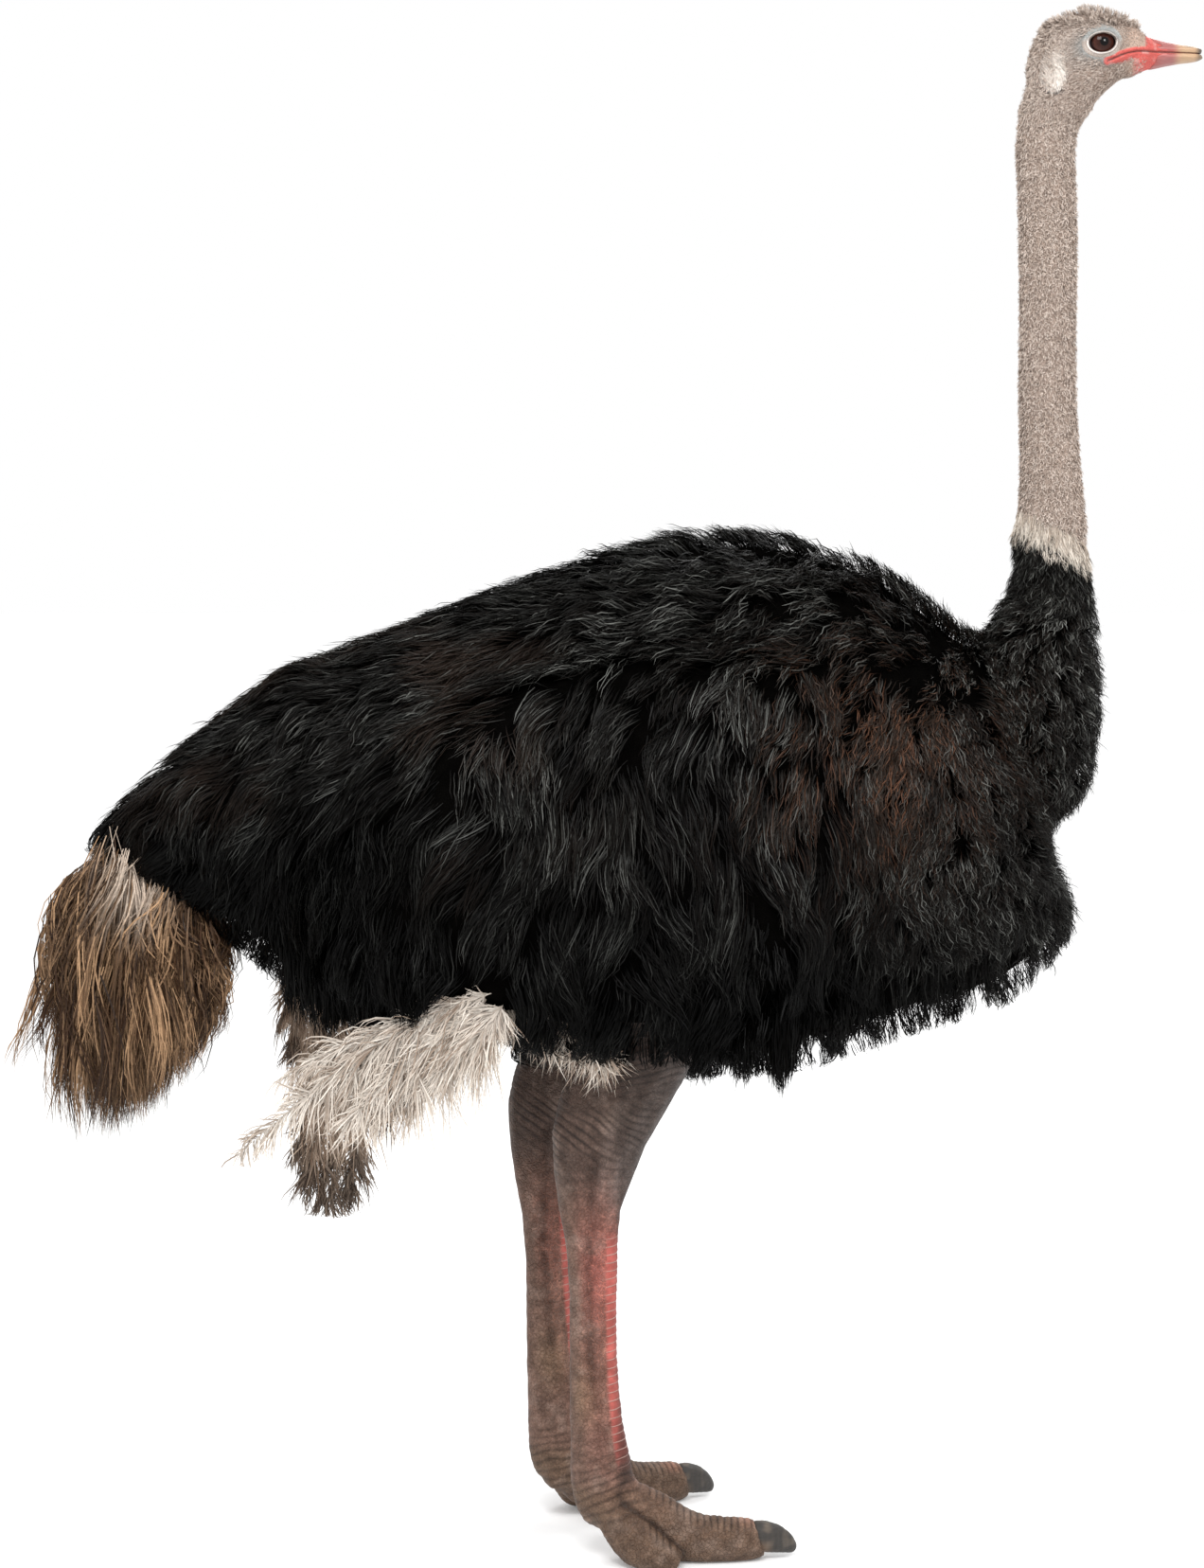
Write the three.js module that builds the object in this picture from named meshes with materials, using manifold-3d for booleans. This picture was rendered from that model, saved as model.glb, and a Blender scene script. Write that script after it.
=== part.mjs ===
// A male ostrich standing still, life size, as a museum shows one. The solids reach out to the tips of the feathers.
// Millimetres. +X points to the bill, +Y to the bird's left, +Z up. The origin is on the floor, under the middle of
// the whole length.
import * as THREE from "three";
import { mergeVertices } from "three/addons/utils/BufferGeometryUtils.js";
import Module from "manifold-3d";

const wasm = await Module();
wasm.setup();

// ---- Driving dimensions ----
const GAP = 0.35; // clearance left between two pieces that meet
const CROWN = 2157; // height of the top of the head
const BACK = 1440; // height of the top of the back
const BELLY = 655; // height of the belly feathers between the legs
const BREAST_X = 652; // front of the breast
const RUMP_X = -745; // end of the black feathers of the rump
const TRUNK_WIDTH = 444; // across the trunk without its wings
const WING_SPREAD = 552; // across both folded wings
const NECK_X = 606; // the neck's centreline stands this far forward
const NECK_DEPTH = 86; // neck from front to back
const NECK_WIDTH = 70; // neck from side to side
const BILL_TIP_X = 816;
const MOUTH = [[684, 2081], [715, 2088], [745, 2090], [830, 2089.5]]; // x, z along the line between the bill halves
const EYE = { x: 670, y: 27, z: 2099, radius: 23 };
const STANCE = 112; // from the middle plane to each leg
const HOCK_Z = 575; // height of the ankle joint
const TOE_JOINT_Z = 90; // height of the joint where the toes start

const COLOURS = {
  plumage: 0x171513,
  whitePlumes: 0xd9cabc,
  tailPlumes: 0x8a6e57,
  down: 0xa2968c,
  collar: 0xcdc2b6,
  bill: 0xd96a62,
  eye: 0x2c1512,
  legs: 0x7d6a60,
  claws: 0x3b3a3a,
};

// ---- Solids ----
// A closed three.js geometry as a manifold solid.
function solid(geometry) {
  const bare = new THREE.BufferGeometry()
    .setAttribute("position", geometry.getAttribute("position"))
    .setIndex(geometry.index);
  const merged = mergeVertices(bare, 1e-4);
  return new wasm.Manifold(
    new wasm.Mesh({
      numProp: 3,
      vertProperties: new Float32Array(merged.getAttribute("position").array),
      triVerts: new Uint32Array(merged.index.array),
    }),
  );
}

// A closed tube through a row of oval sections, each [x, y, z, half depth, half width]. Half width lies across the
// bird. Sections face along the tube, or along "facing" if it is given. "swell" makes it larger all over, for cutting.
function loft(rows, { around = 12, along = 10, from = 0, to = 1, swell = 0, facing = null } = {}) {
  const centre = new THREE.CatmullRomCurve3(rows.map(([x, y, z]) => new THREE.Vector3(x, y, z)));
  const size = new THREE.CatmullRomCurve3(rows.map(([, , , deep, wide]) => new THREE.Vector3(deep, wide, 0)));
  const tube = new THREE.CylinderGeometry(1, 1, 1, around, along);
  const vertices = tube.getAttribute("position");
  const v = new THREE.Vector3();
  for (let i = 0; i < vertices.count; i++) {
    v.fromBufferAttribute(vertices, i);
    const end = Math.abs(v.y) > 0.4999 ? Math.sign(v.y) : 0;
    const t = THREE.MathUtils.clamp(from + (to - from) * (v.y + 0.5), 0, 1);
    const tangent = facing ?? centre.getTangent(t);
    const across = new THREE.Vector3(0, 1, 0).projectOnPlane(tangent).normalize();
    const deepward = new THREE.Vector3().crossVectors(tangent, across);
    const { x: deep, y: wide } = size.getPoint(t);
    const place = centre
      .getPoint(t)
      .addScaledVector(tangent, end * swell)
      .addScaledVector(deepward, v.x * (deep + swell))
      .addScaledVector(across, v.z * (wide + swell));
    vertices.setXYZ(i, place.x, place.y, place.z);
  }
  return solid(tube);
}

// A shape whose sections stand upright across the bird, each [x, top, bottom, half width], from back to front.
const FORWARD = new THREE.Vector3(1, 0, 0);
function uprightLoft(rows, options) {
  const sections = rows.map(([x, top, bottom, wide]) => [x, 0, (top + bottom) / 2, (top - bottom) / 2, wide]);
  return loft(sections, { facing: FORWARD, ...options });
}

// An egg shape: a sphere stretched to three radii, at a place.
function egg(radii, place, { around = 12, along = 8, swell = 0 } = {}) {
  const ball = new THREE.SphereGeometry(1, around, along);
  return solid(ball.scale(...radii.map((r) => r + swell)).translate(...place));
}

// A plume: a flat, tapering loft that leaves "root", passes near "bend" and ends at "tip". It is broad along the
// bird, or across it if "aside" is set.
function plume(root, bend, tip, halfWidth, halfThickness, { aside = false, swell = 0 } = {}) {
  const path = new THREE.QuadraticBezierCurve3(...[root, bend, tip].map((p) => new THREE.Vector3(...p)));
  const fullness = [0.55, 0.9, 1, 0.85, 0.22]; // from root to tip, as a share of the plume's greatest width
  const rows = fullness.map((share, i) => {
    const p = path.getPoint(i / (fullness.length - 1));
    const sizes = aside ? [halfThickness, halfWidth] : [halfWidth, halfThickness];
    return [p.x, p.y, p.z, sizes[0] * share, sizes[1] * share];
  });
  return loft(rows, { around: 6, along: 3, swell });
}

const join = (shapes) => wasm.Manifold.union(shapes);

// ---- Trunk ----
// The domed back slopes down to the rump; the belly feathers hang level between the legs and rise to the breast.
function trunk(swell = 0) {
  const half = TRUNK_WIDTH / 2;
  const rows = [
    [RUMP_X, 1004, 982, 0.12 * half],
    [-690, 1066, 950, 0.33 * half],
    [-600, 1144, 905, 0.5 * half],
    [-480, 1242, 806, 0.67 * half],
    [-330, 1302, 716, 0.83 * half],
    [-120, 1380, 680, 0.96 * half],
    [70, BACK, BELLY + 4, half],
    [220, BACK + 4, BELLY + 6, 1.02 * half],
    [350, 1408, 694, half],
    [450, 1345, 730, 0.93 * half],
    [535, 1262, 750, 0.78 * half],
    [612, 1010, 804, 0.5 * half],
    [BREAST_X, 930, 862, 0.15 * half],
  ];
  return uprightLoft(rows, { around: 20, along: 16, swell });
}

// ---- Wings ----
// A folded wing covers the flank. Its long feathers lie in tiers, and the tips of each tier stand free.
function wing(side, swell = 0) {
  const outside = WING_SPREAD / 2;
  const section = ([x, top, bottom, halfThickness, inset]) => [
    x,
    side * (outside - halfThickness - inset),
    (top + bottom) / 2,
    (top - bottom) / 2,
    halfThickness,
  ];
  const cover = [
    [-430, 968, 848, 32, 84],
    [-350, 1095, 782, 60, 46],
    [-240, 1195, 745, 78, 22],
    [-110, 1256, 718, 84, 8],
    [50, 1288, 706, 84, 4],
    [195, 1286, 712, 82, 6],
    [295, 1225, 868, 62, 26],
    [345, 1150, 1000, 30, 62],
  ];
  const tiers = [
    { count: 6, x: 232, step: -92, root: 905, tip: 678, drop: 13, reach: -34 },
    { count: 5, x: 250, step: -108, root: 1060, tip: 850, drop: 14, reach: -60 },
  ];
  const feathers = tiers.flatMap(({ count, x, step, root, tip, drop, reach }) =>
    Array.from({ length: count }, (_, i) => {
      const at = x + step * i;
      const low = tip - 14 * (i % 2) + drop * i;
      const y = (depth) => side * (outside - depth - 5 * Math.max(0, i - 3));
      const bend = [at + 0.4 * reach, y(14), (root + low) / 2];
      return plume([at, y(34), root], bend, [at + reach, y(34), low], 50, 20, { swell });
    }),
  );
  return join([loft(cover.map(section), { around: 12, along: 9, facing: FORWARD, swell }), ...feathers]);
}

// The pale quills of the folded wings. The right wing's trail behind it, and the left wing's hang down.
const WING_PLUMES = {
  right: [
    { root: [-130, 190, 845], bend: [-352, 224, 748], tip: [-508, 208, 586], halfWidth: 27 },
    { root: [-120, 185, 830], bend: [-290, 222, 765], tip: [-430, 204, 630], halfWidth: 38 },
    { root: [-120, 185, 800], bend: [-230, 216, 765], tip: [-322, 200, 634], halfWidth: 40 },
  ],
  left: [
    { root: [-400, 150, 850], bend: [-458, 182, 700], tip: [-450, 172, 444], halfWidth: 48 },
    { root: [-340, 165, 810], bend: [-415, 178, 690], tip: [-408, 168, 424], halfWidth: 48 },
    { root: [-280, 170, 790], bend: [-372, 176, 700], tip: [-386, 168, 436], halfWidth: 40 },
    { root: [-190, 175, 790], bend: [-290, 190, 720], tip: [-290, 180, 590], halfWidth: 44 },
  ],
};

function wingPlumes(name, side) {
  const shapes = WING_PLUMES[name].map(({ root, bend, tip, halfWidth }) => {
    const [a, b, c] = [root, bend, tip].map(([x, y, z]) => [x, side * y, z]);
    return plume(a, b, c, halfWidth, 16);
  });
  return join(shapes);
}

// ---- Tail ----
// The plumes droop from the rump in one bunch. Their tips stand free around its rim, and one thin plume strays out.
function tail() {
  const bunch = [
    [-622, 0, 990, 60, 50],
    [-668, 0, 925, 106, 74],
    [-674, 0, 850, 128, 90],
    [-683, 0, 780, 134, 96],
    [-696, 0, 725, 116, 96],
    [-706, 0, 675, 92, 88],
    [-718, 0, 635, 64, 68],
    [-730, 0, 606, 34, 38],
  ];
  const rim = 9;
  const tips = Array.from({ length: rim }, (_, i) => {
    const turn = (2 * Math.PI * (i + 0.5)) / rim;
    const back = Math.cos(turn); // 1 at the back of the bunch, -1 at its front
    const side = Math.sin(turn);
    const low = 622 - 26 * back + 22 * (i % 2);
    return plume(
      [-684 - 66 * back, 60 * side, 862],
      [-690 - 108 * back, 84 * side, 760],
      [-702 - 58 * back, 68 * side, low],
      34,
      28,
      { aside: true },
    );
  });
  const lowest = plume([-720, 10, 720], [-745, 10, 650], [-738, 10, 574], 30, 26);
  const stray = plume([-760, 30, 860], [-850, 34, 790], [-856, 30, 700], 11, 9, { aside: true });
  return join([loft(bunch, { along: 6 }), ...tips, lowest, stray]);
}

// ---- Neck ----
// One row of sections runs from the feathered base up to the head; each length of the neck is a stretch of it.
const NECK = [
  [NECK_X + 11, 0, 1372, 0.72 * NECK_DEPTH, 0.74 * NECK_WIDTH],
  [NECK_X + 10, 0, 1440, 0.6 * NECK_DEPTH, 0.6 * NECK_WIDTH],
  [NECK_X + 7, 0, 1520, 0.525 * NECK_DEPTH, 0.53 * NECK_WIDTH],
  [NECK_X + 2, 0, 1610, 0.5 * NECK_DEPTH, 0.5 * NECK_WIDTH],
  [NECK_X + 1, 0, 1720, 0.49 * NECK_DEPTH, 0.5 * NECK_WIDTH],
  [NECK_X, 0, 1830, 0.505 * NECK_DEPTH, 0.5 * NECK_WIDTH],
  [NECK_X - 3, 0, 1915, 0.505 * NECK_DEPTH, 0.5 * NECK_WIDTH],
  [NECK_X - 5, 0, 1965, 0.51 * NECK_DEPTH, 0.53 * NECK_WIDTH],
  [NECK_X + 2, 0, 2010, 0.55 * NECK_DEPTH, 0.56 * NECK_WIDTH],
  [NECK_X + 24, 0, 2052, 0.62 * NECK_DEPTH, 0.56 * NECK_WIDTH],
];
const NECK_LENGTHS = { neck_collar: [0, 1], neck_lower: [1, 3], neck_middle: [3, 5], neck_upper: [5, 9] };

function neckLength([first, last], swell = 0) {
  const count = NECK.length - 1;
  const inset = GAP / 2 / 80; // half the gap, as a share of one row's step
  const ends = { from: (first + inset) / count, to: (last - inset) / count };
  return loft(NECK, { around: 12, along: 2 * (last - first) + 1, ...ends, swell });
}

// The feathered base swells forward over the crop before it runs into the trunk.
function neckBase() {
  const rows = [
    [617, 0, 1374, 0.72 * NECK_DEPTH, 0.74 * NECK_WIDTH],
    [613, 0, 1318, 73, 62],
    [596, 0, 1240, 97, 84],
    [584, 0, 1155, 106, 104],
    [574, 0, 1090, 104, 110],
    [560, 0, 1046, 78, 90],
    [554, 0, 1018, 40, 46],
  ];
  return loft(rows, { around: 16, along: 9 });
}

// ---- Head ----
function head(swell = 0) {
  const rows = [
    [572, 2092, 2052, 14],
    [584, 2127, 2022, 31],
    [610, 2148, 2006, 43],
    [644, CROWN, 2006, 48],
    [674, CROWN - 2, 2025, 49],
    [700, 2145, 2048, 46],
    [721, 2129, 2060, 37],
    [740, 2112, 2069, 27],
    [752, 2104, 2075, 19],
  ];
  return uprightLoft(rows, { around: 16, along: 10, swell });
}

function eye(side, swell = 0) {
  const { x, y, z, radius } = EYE;
  return egg([radius, radius, radius], [x, side * y, z], { around: 12, along: 7, swell });
}

// The ear is a low pad of pale bristles over the ear opening.
const ear = (side, swell = 0) => egg([18, 9, 32], [606, side * 37, 2062], { around: 8, along: 5, swell });

// The broad, flat bill rounds off at the tip. The mouth line parts it into two halves.
function bill() {
  const rows = [
    [690, 2112, 2052, 30],
    [728, 2116, 2064, 25.5],
    [756, 2108, 2072, 21],
    [784, 2102, 2078, 17],
    [804, 2099, 2080.5, 14],
    [BILL_TIP_X - 4, 2096, 2083, 9.5],
    [BILL_TIP_X, 2092, 2086, 4.5],
  ];
  return uprightLoft(rows, { around: 12, along: 8 });
}

// The space on one side of the mouth line: above it (1) or below it (-1).
function besideMouth(way) {
  const line = MOUTH.map(([x, z]) => new THREE.Vector2(x, z + (way * GAP) / 2));
  const outer = MOUTH[0][1] + way * 100;
  line.push(new THREE.Vector2(830, outer), new THREE.Vector2(684, outer));
  const slab = new THREE.ExtrudeGeometry(new THREE.Shape(line), { depth: 100, bevelEnabled: false });
  return solid(slab.rotateX(Math.PI / 2).translate(0, 50, 0));
}

// ---- Legs ----
// How far this leg's toe joint and ankle stand from those of the standard leg, as [x, y]; how far the toes turn out,
// in degrees; and how far they reach. The left leg stands back, and its toes are drawn up a little.
const LEGS = {
  right: { foot: [0, 0], hock: [0, 0], toeOut: 3, reach: 1 },
  left: { foot: [-63, -52], hock: [-68, -12], toeOut: 30, reach: 0.92 },
};
const TARSUS = [
  [0, 62, 24, 20],
  [-10, 84, 44, 32],
  [-12, 112, 47, 33],
  [-16, 145, 43, 29],
  [-21, 195, 38.5, 24],
  [-25, 262, 35.5, 21],
  [-26, 345, 34, 20],
  [-26, 425, 36, 21],
  [-30, 490, 44, 28],
  [-26, 540, 56, 36],
  [-20, HOCK_Z, 64, 40],
];
const SHANK = [
  [-20, HOCK_Z, 64, 40],
  [-15, 605, 69, 42],
  [6, 655, 74, 48],
  [38, 720, 78, 58],
  [62, 790, 86, 64],
];

function legLoft(rows, side, { foot, hock }, options) {
  const shifted = rows.map(([x, z, deep, wide]) => {
    const height = (z - TOE_JOINT_Z) / (HOCK_Z - TOE_JOINT_Z);
    const [back, inside] = [0, 1].map((i) => THREE.MathUtils.lerp(foot[i], hock[i], height));
    return [x + back, side * (STANCE + inside), z, deep, wide];
  });
  return loft(shifted, options);
}

// The toes are laid out along +X from the toe joint, then turned out and moved under the leg.
function underLeg(shape, side, { foot, toeOut, reach }) {
  const move = new THREE.Matrix4()
    .makeTranslation(foot[0], side * (STANCE + foot[1]), 0)
    .multiply(new THREE.Matrix4().makeRotationZ(THREE.MathUtils.degToRad(side * toeOut)))
    .scale(new THREE.Vector3(reach, 1, 1));
  return shape.transform(move.elements);
}

// The main toe curves inwards towards its tip, by this much at x.
const toeCurl = (x, side) => -side * 20 * (Math.max(0, x - 95) / 160) ** 1.6;

// A toe's rows are [x, height, half height, half width].
const toeRows = (rows, side) => rows.map(([x, z, deep, wide]) => [x, toeCurl(x, side), z, deep, wide]);

function mainToe(side, swell = 0) {
  const rows = [
    [-42, 70, 20, 18],
    [0, 76, 42, 30],
    [46, 53, 50, 33],
    [95, 34, 40, 33],
    [140, 27, 34, 32],
    [190, 27, 32, 29],
    [221, 28, 25, 22],
  ];
  return loft(toeRows(rows, side), { along: 8, swell });
}

function outerToe(side) {
  const rows = [
    [-10, side * 14, 84, 22, 18],
    [18, side * 28, 50, 31, 23],
    [40, side * 36, 32, 34, 27],
    [68, side * 42, 19, 26, 26],
    [97, side * 45, 12, 13, 14],
  ];
  return loft(rows, { around: 10, along: 6 });
}

function claw(side, swell = 0) {
  const rows = [
    [196, 32, 22, 18],
    [216, 30, 23, 19],
    [236, 23.5, 19, 15],
    [250, 14.5, 12, 9.5],
    [256, 8, 5, 4],
  ];
  return loft(toeRows(rows, side), { around: 8, along: 5, swell });
}

// ---- Assembly ----
const ostrich = new THREE.Group();
ostrich.position.x = 21; // the middle of the whole length then stands over the origin
const floor = solid(new THREE.BoxGeometry(1000, 1000, 100).translate(0, 0, -50));

// Adds a solid to the model as a named mesh, after the cutters are taken away. Of what is left it keeps the largest
// body, because a cut can leave a loose crumb beside it.
function add(name, shape, colour, cutters = [], roughness = 0.9) {
  const rest = cutters.reduce((left, cutter) => left.subtract(cutter), shape).decompose();
  const kept = rest.reduce((a, b) => (b.volume() > a.volume() ? b : a));
  const { numProp, vertProperties, triVerts } = kept.getMesh();
  const positions = new Float32Array((vertProperties.length / numProp) * 3);
  for (let i = 0; i < positions.length / 3; i++) {
    positions.set(vertProperties.subarray(i * numProp, i * numProp + 3), i * 3);
  }
  const geometry = new THREE.BufferGeometry()
    .setAttribute("position", new THREE.BufferAttribute(positions, 3))
    .setIndex(new THREE.BufferAttribute(triVerts, 1));
  geometry.computeVertexNormals();
  const material = new THREE.MeshStandardMaterial({ color: colour, roughness, metalness: 0 });
  const mesh = new THREE.Mesh(geometry, material);
  mesh.name = name;
  ostrich.add(mesh);
}

const SIDES = { right: -1, left: 1 };
const bothSides = (shape) => Object.values(SIDES).map((side) => shape(side, GAP));

add("trunk", trunk(), COLOURS.plumage);
add("tail", tail(), COLOURS.tailPlumes, [trunk(GAP)]);
add("neck_base", neckBase(), COLOURS.plumage, [trunk(GAP), neckLength(NECK_LENGTHS.neck_collar, GAP)]);
for (const [name, ends] of Object.entries(NECK_LENGTHS)) {
  const cutters = name === "neck_upper" ? [head(GAP), ...bothSides(ear)] : [];
  add(name, neckLength(ends), name === "neck_collar" ? COLOURS.collar : COLOURS.down, cutters);
}
add("head", head(), COLOURS.down, [...bothSides(eye), ...bothSides(ear)]);
add("bill_upper", bill().intersect(besideMouth(1)), COLOURS.bill, [head(GAP)], 0.45);
add("bill_lower", bill().intersect(besideMouth(-1)), COLOURS.bill, [head(GAP)], 0.45);

for (const [name, side] of Object.entries(SIDES)) {
  const leg = LEGS[name];
  const tarsus = (swell) => legLoft(TARSUS, side, leg, { swell, along: 11 });
  const toe = (swell) => underLeg(mainToe(side, swell), side, leg);
  add(`eye_${name}`, eye(side), COLOURS.eye, [], 0.1);
  add(`ear_${name}`, ear(side), COLOURS.collar);
  add(`wing_${name}`, wing(side), COLOURS.plumage, [trunk(GAP)]);
  add(`wing_plumes_${name}`, wingPlumes(name, side), COLOURS.whitePlumes, [trunk(GAP), wing(side, GAP)]);
  const thigh = legLoft(SHANK, side, leg, { along: 6 });
  add(`shank_${name}`, thigh, COLOURS.legs, [trunk(GAP), wing(side, GAP), tarsus(GAP)], 0.8);
  add(`tarsus_${name}`, tarsus(0), COLOURS.legs, [], 0.8);
  add(`toe_main_${name}`, toe(0), COLOURS.legs, [tarsus(GAP), underLeg(claw(side, GAP), side, leg), floor], 0.8);
  add(`toe_outer_${name}`, underLeg(outerToe(side), side, leg), COLOURS.legs, [tarsus(GAP), toe(GAP), floor], 0.8);
  add(`claw_${name}`, underLeg(claw(side), side, leg), COLOURS.claws, [floor], 0.4);
}

export default ostrich;
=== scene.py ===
import math

import bpy
import numpy as np
import openvdb as vdb
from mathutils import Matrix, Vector


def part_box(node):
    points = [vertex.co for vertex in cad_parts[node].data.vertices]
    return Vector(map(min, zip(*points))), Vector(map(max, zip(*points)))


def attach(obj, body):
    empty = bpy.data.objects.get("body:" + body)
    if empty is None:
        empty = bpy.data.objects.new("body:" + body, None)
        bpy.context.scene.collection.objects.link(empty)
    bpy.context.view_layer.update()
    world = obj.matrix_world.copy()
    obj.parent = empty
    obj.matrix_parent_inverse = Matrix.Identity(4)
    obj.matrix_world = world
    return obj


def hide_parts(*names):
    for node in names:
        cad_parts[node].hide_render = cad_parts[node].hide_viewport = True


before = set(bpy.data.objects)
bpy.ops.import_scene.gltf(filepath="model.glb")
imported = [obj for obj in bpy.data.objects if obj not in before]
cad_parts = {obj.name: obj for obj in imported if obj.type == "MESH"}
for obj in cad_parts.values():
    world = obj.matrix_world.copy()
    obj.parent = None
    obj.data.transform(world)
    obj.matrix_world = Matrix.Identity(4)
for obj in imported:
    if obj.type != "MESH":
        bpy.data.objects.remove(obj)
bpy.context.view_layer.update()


# ---------------------------------------------------------------------------------------------
# The stand point: someone looks at the bird square from its right side, from a little over four
# metres away and from about the height of its back, with the lens dipped a few degrees.
EYE_LEVEL = 1.411
STANDING_OFF = 4.1
LENS_DIP = math.radians(4.636)
LENS = 67.0
AIM_X = 0.0075

camera = bpy.data.objects.new("camera", bpy.data.cameras.new("camera"))
bpy.context.collection.objects.link(camera)
camera.location = (AIM_X, -STANDING_OFF, EYE_LEVEL)
camera.rotation_euler = (math.pi / 2 - LENS_DIP, 0, 0)
camera.data.sensor_width = 36.0
camera.data.lens = LENS
bpy.context.scene.camera = camera
bpy.context.scene.view_settings.view_transform = "Standard"


# ---------------------------------------------------------------------------------------------
# The studio: a plain pale floor of matt sheet that runs far out, a white room round it, and
# large soft lamps high in front and behind. The floor is lit through from below a little, as a
# white display table is, so that it meets the room with no edge.
FLOOR_COLOUR = (0.90, 0.90, 0.90, 1)
FLOOR_GLOW = 0.13
ROOM_COLOUR = (1.0, 1.0, 1.0, 1)
ROOM_LIGHT = 1.0
FLOOR_RINGS = (0.5, 1.5, 4.0, 12.0, 60.0)
FLOOR_TURNS = 96
LAMPS = {
    "key_lamp": ((-0.6, -3.4, 4.9), (0.05, 0, 1.15), 2.2, 165),
    "catch_lamp": ((1.64, -2.30, 2.95), (0.5, 0, 1.6), 0.6, 30),
    "rim_lamp": ((1.8, 3.2, 4.4), (0.1, 0, 1.3), 2.0, 70),
}


def node_material(name):
    """A new material with its node tree emptied down to one Principled shader on the output."""
    material = bpy.data.materials.new(name)
    material.use_nodes = True
    tree = material.node_tree
    tree.nodes.clear()
    output = tree.nodes.new("ShaderNodeOutputMaterial")
    shader = tree.nodes.new("ShaderNodeBsdfPrincipled")
    tree.links.new(shader.outputs["BSDF"], output.inputs["Surface"])
    return material, tree, shader


def mesh_object(name, points, faces):
    """An object of a new mesh from an array of points and a list of faces of one or more sizes."""
    mesh = bpy.data.meshes.new(name)
    groups = faces if isinstance(faces, list) else [faces]
    corners = np.concatenate([np.asarray(g, np.int32).ravel() for g in groups])
    sizes = np.concatenate([np.full(len(g), np.shape(g)[1], np.int32) for g in groups])
    mesh.vertices.add(len(points))
    mesh.vertices.foreach_set("co", np.asarray(points, np.float32).ravel())
    mesh.loops.add(len(corners))
    mesh.loops.foreach_set("vertex_index", corners)
    mesh.polygons.add(len(sizes))
    mesh.polygons.foreach_set("loop_start", np.cumsum(sizes) - sizes)
    mesh.polygons.foreach_set("use_smooth", np.ones(len(sizes), bool))
    mesh.update(calc_edges=True)
    item = bpy.data.objects.new(name, mesh)
    bpy.context.collection.objects.link(item)
    return item


def ring_quads(first, last, turns):
    """Four-sided faces between the closed rows of points from row first to row last."""
    i, j = np.meshgrid(np.arange(first, last), np.arange(turns), indexing="ij")
    a = i * turns + j
    b = i * turns + (j + 1) % turns
    return np.stack([a, a + turns, b + turns, b], -1).reshape(-1, 4)


around = np.arange(FLOOR_TURNS) * 2 * math.pi / FLOOR_TURNS
floor_points = [(r * math.cos(a), r * math.sin(a), 0.0) for r in FLOOR_RINGS for a in around]
floor = mesh_object("floor", [(0, 0, 0)] + floor_points, [
    ring_quads(0, len(FLOOR_RINGS) - 1, FLOOR_TURNS) + 1,
    np.array([(0, 1 + j, 1 + (j + 1) % FLOOR_TURNS) for j in range(FLOOR_TURNS)]),
])
floor_sheet, tree, shader = node_material("floor_sheet")
shader.inputs["Base Color"].default_value = FLOOR_COLOUR
shader.inputs["Roughness"].default_value = 0.9
shader.inputs["Emission Color"].default_value = FLOOR_COLOUR
shader.inputs["Emission Strength"].default_value = FLOOR_GLOW
floor.data.materials.append(floor_sheet)

room = bpy.data.worlds.new("room")
room.use_nodes = True
room.node_tree.nodes["Background"].inputs["Color"].default_value = ROOM_COLOUR
room.node_tree.nodes["Background"].inputs["Strength"].default_value = ROOM_LIGHT
bpy.context.scene.world = room

for name, (place, target, width, watts) in LAMPS.items():
    lamp = bpy.data.objects.new(name, bpy.data.lights.new(name, "AREA"))
    lamp.data.size = width
    lamp.data.energy = watts
    lamp.location = place
    lamp.rotation_euler = (Vector(target) - Vector(place)).to_track_quat("-Z", "Y").to_euler()
    bpy.context.collection.objects.link(lamp)


# ---------------------------------------------------------------------------------------------
# The manikin of the body: the stuffed form that the plumage lies on. Its outer face is the
# outline of trunk, folded wings and neck base, and its own surface lies inside that outline by
# the depth of the coat, so that the roots of all body feathers sit on it.
BODY_CELL = 0.008
BODY_NODES = ("trunk", "wing_right", "wing_left", "neck_base")
GLUE_GAP = 0.003
COAT_DEPTH = 0.027
SKIN_STRIDE = 2


def cell_corners(f):
    """The eight corners of a cell, each with its share in a blend at the place f inside it."""
    for a in (0, 1):
        wa = f[..., 0] if a else 1 - f[..., 0]
        for b in (0, 1):
            wb = wa * (f[..., 1] if b else 1 - f[..., 1])
            for c in (0, 1):
                yield (a, b, c), wb * (f[..., 2] if c else 1 - f[..., 2])


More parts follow.
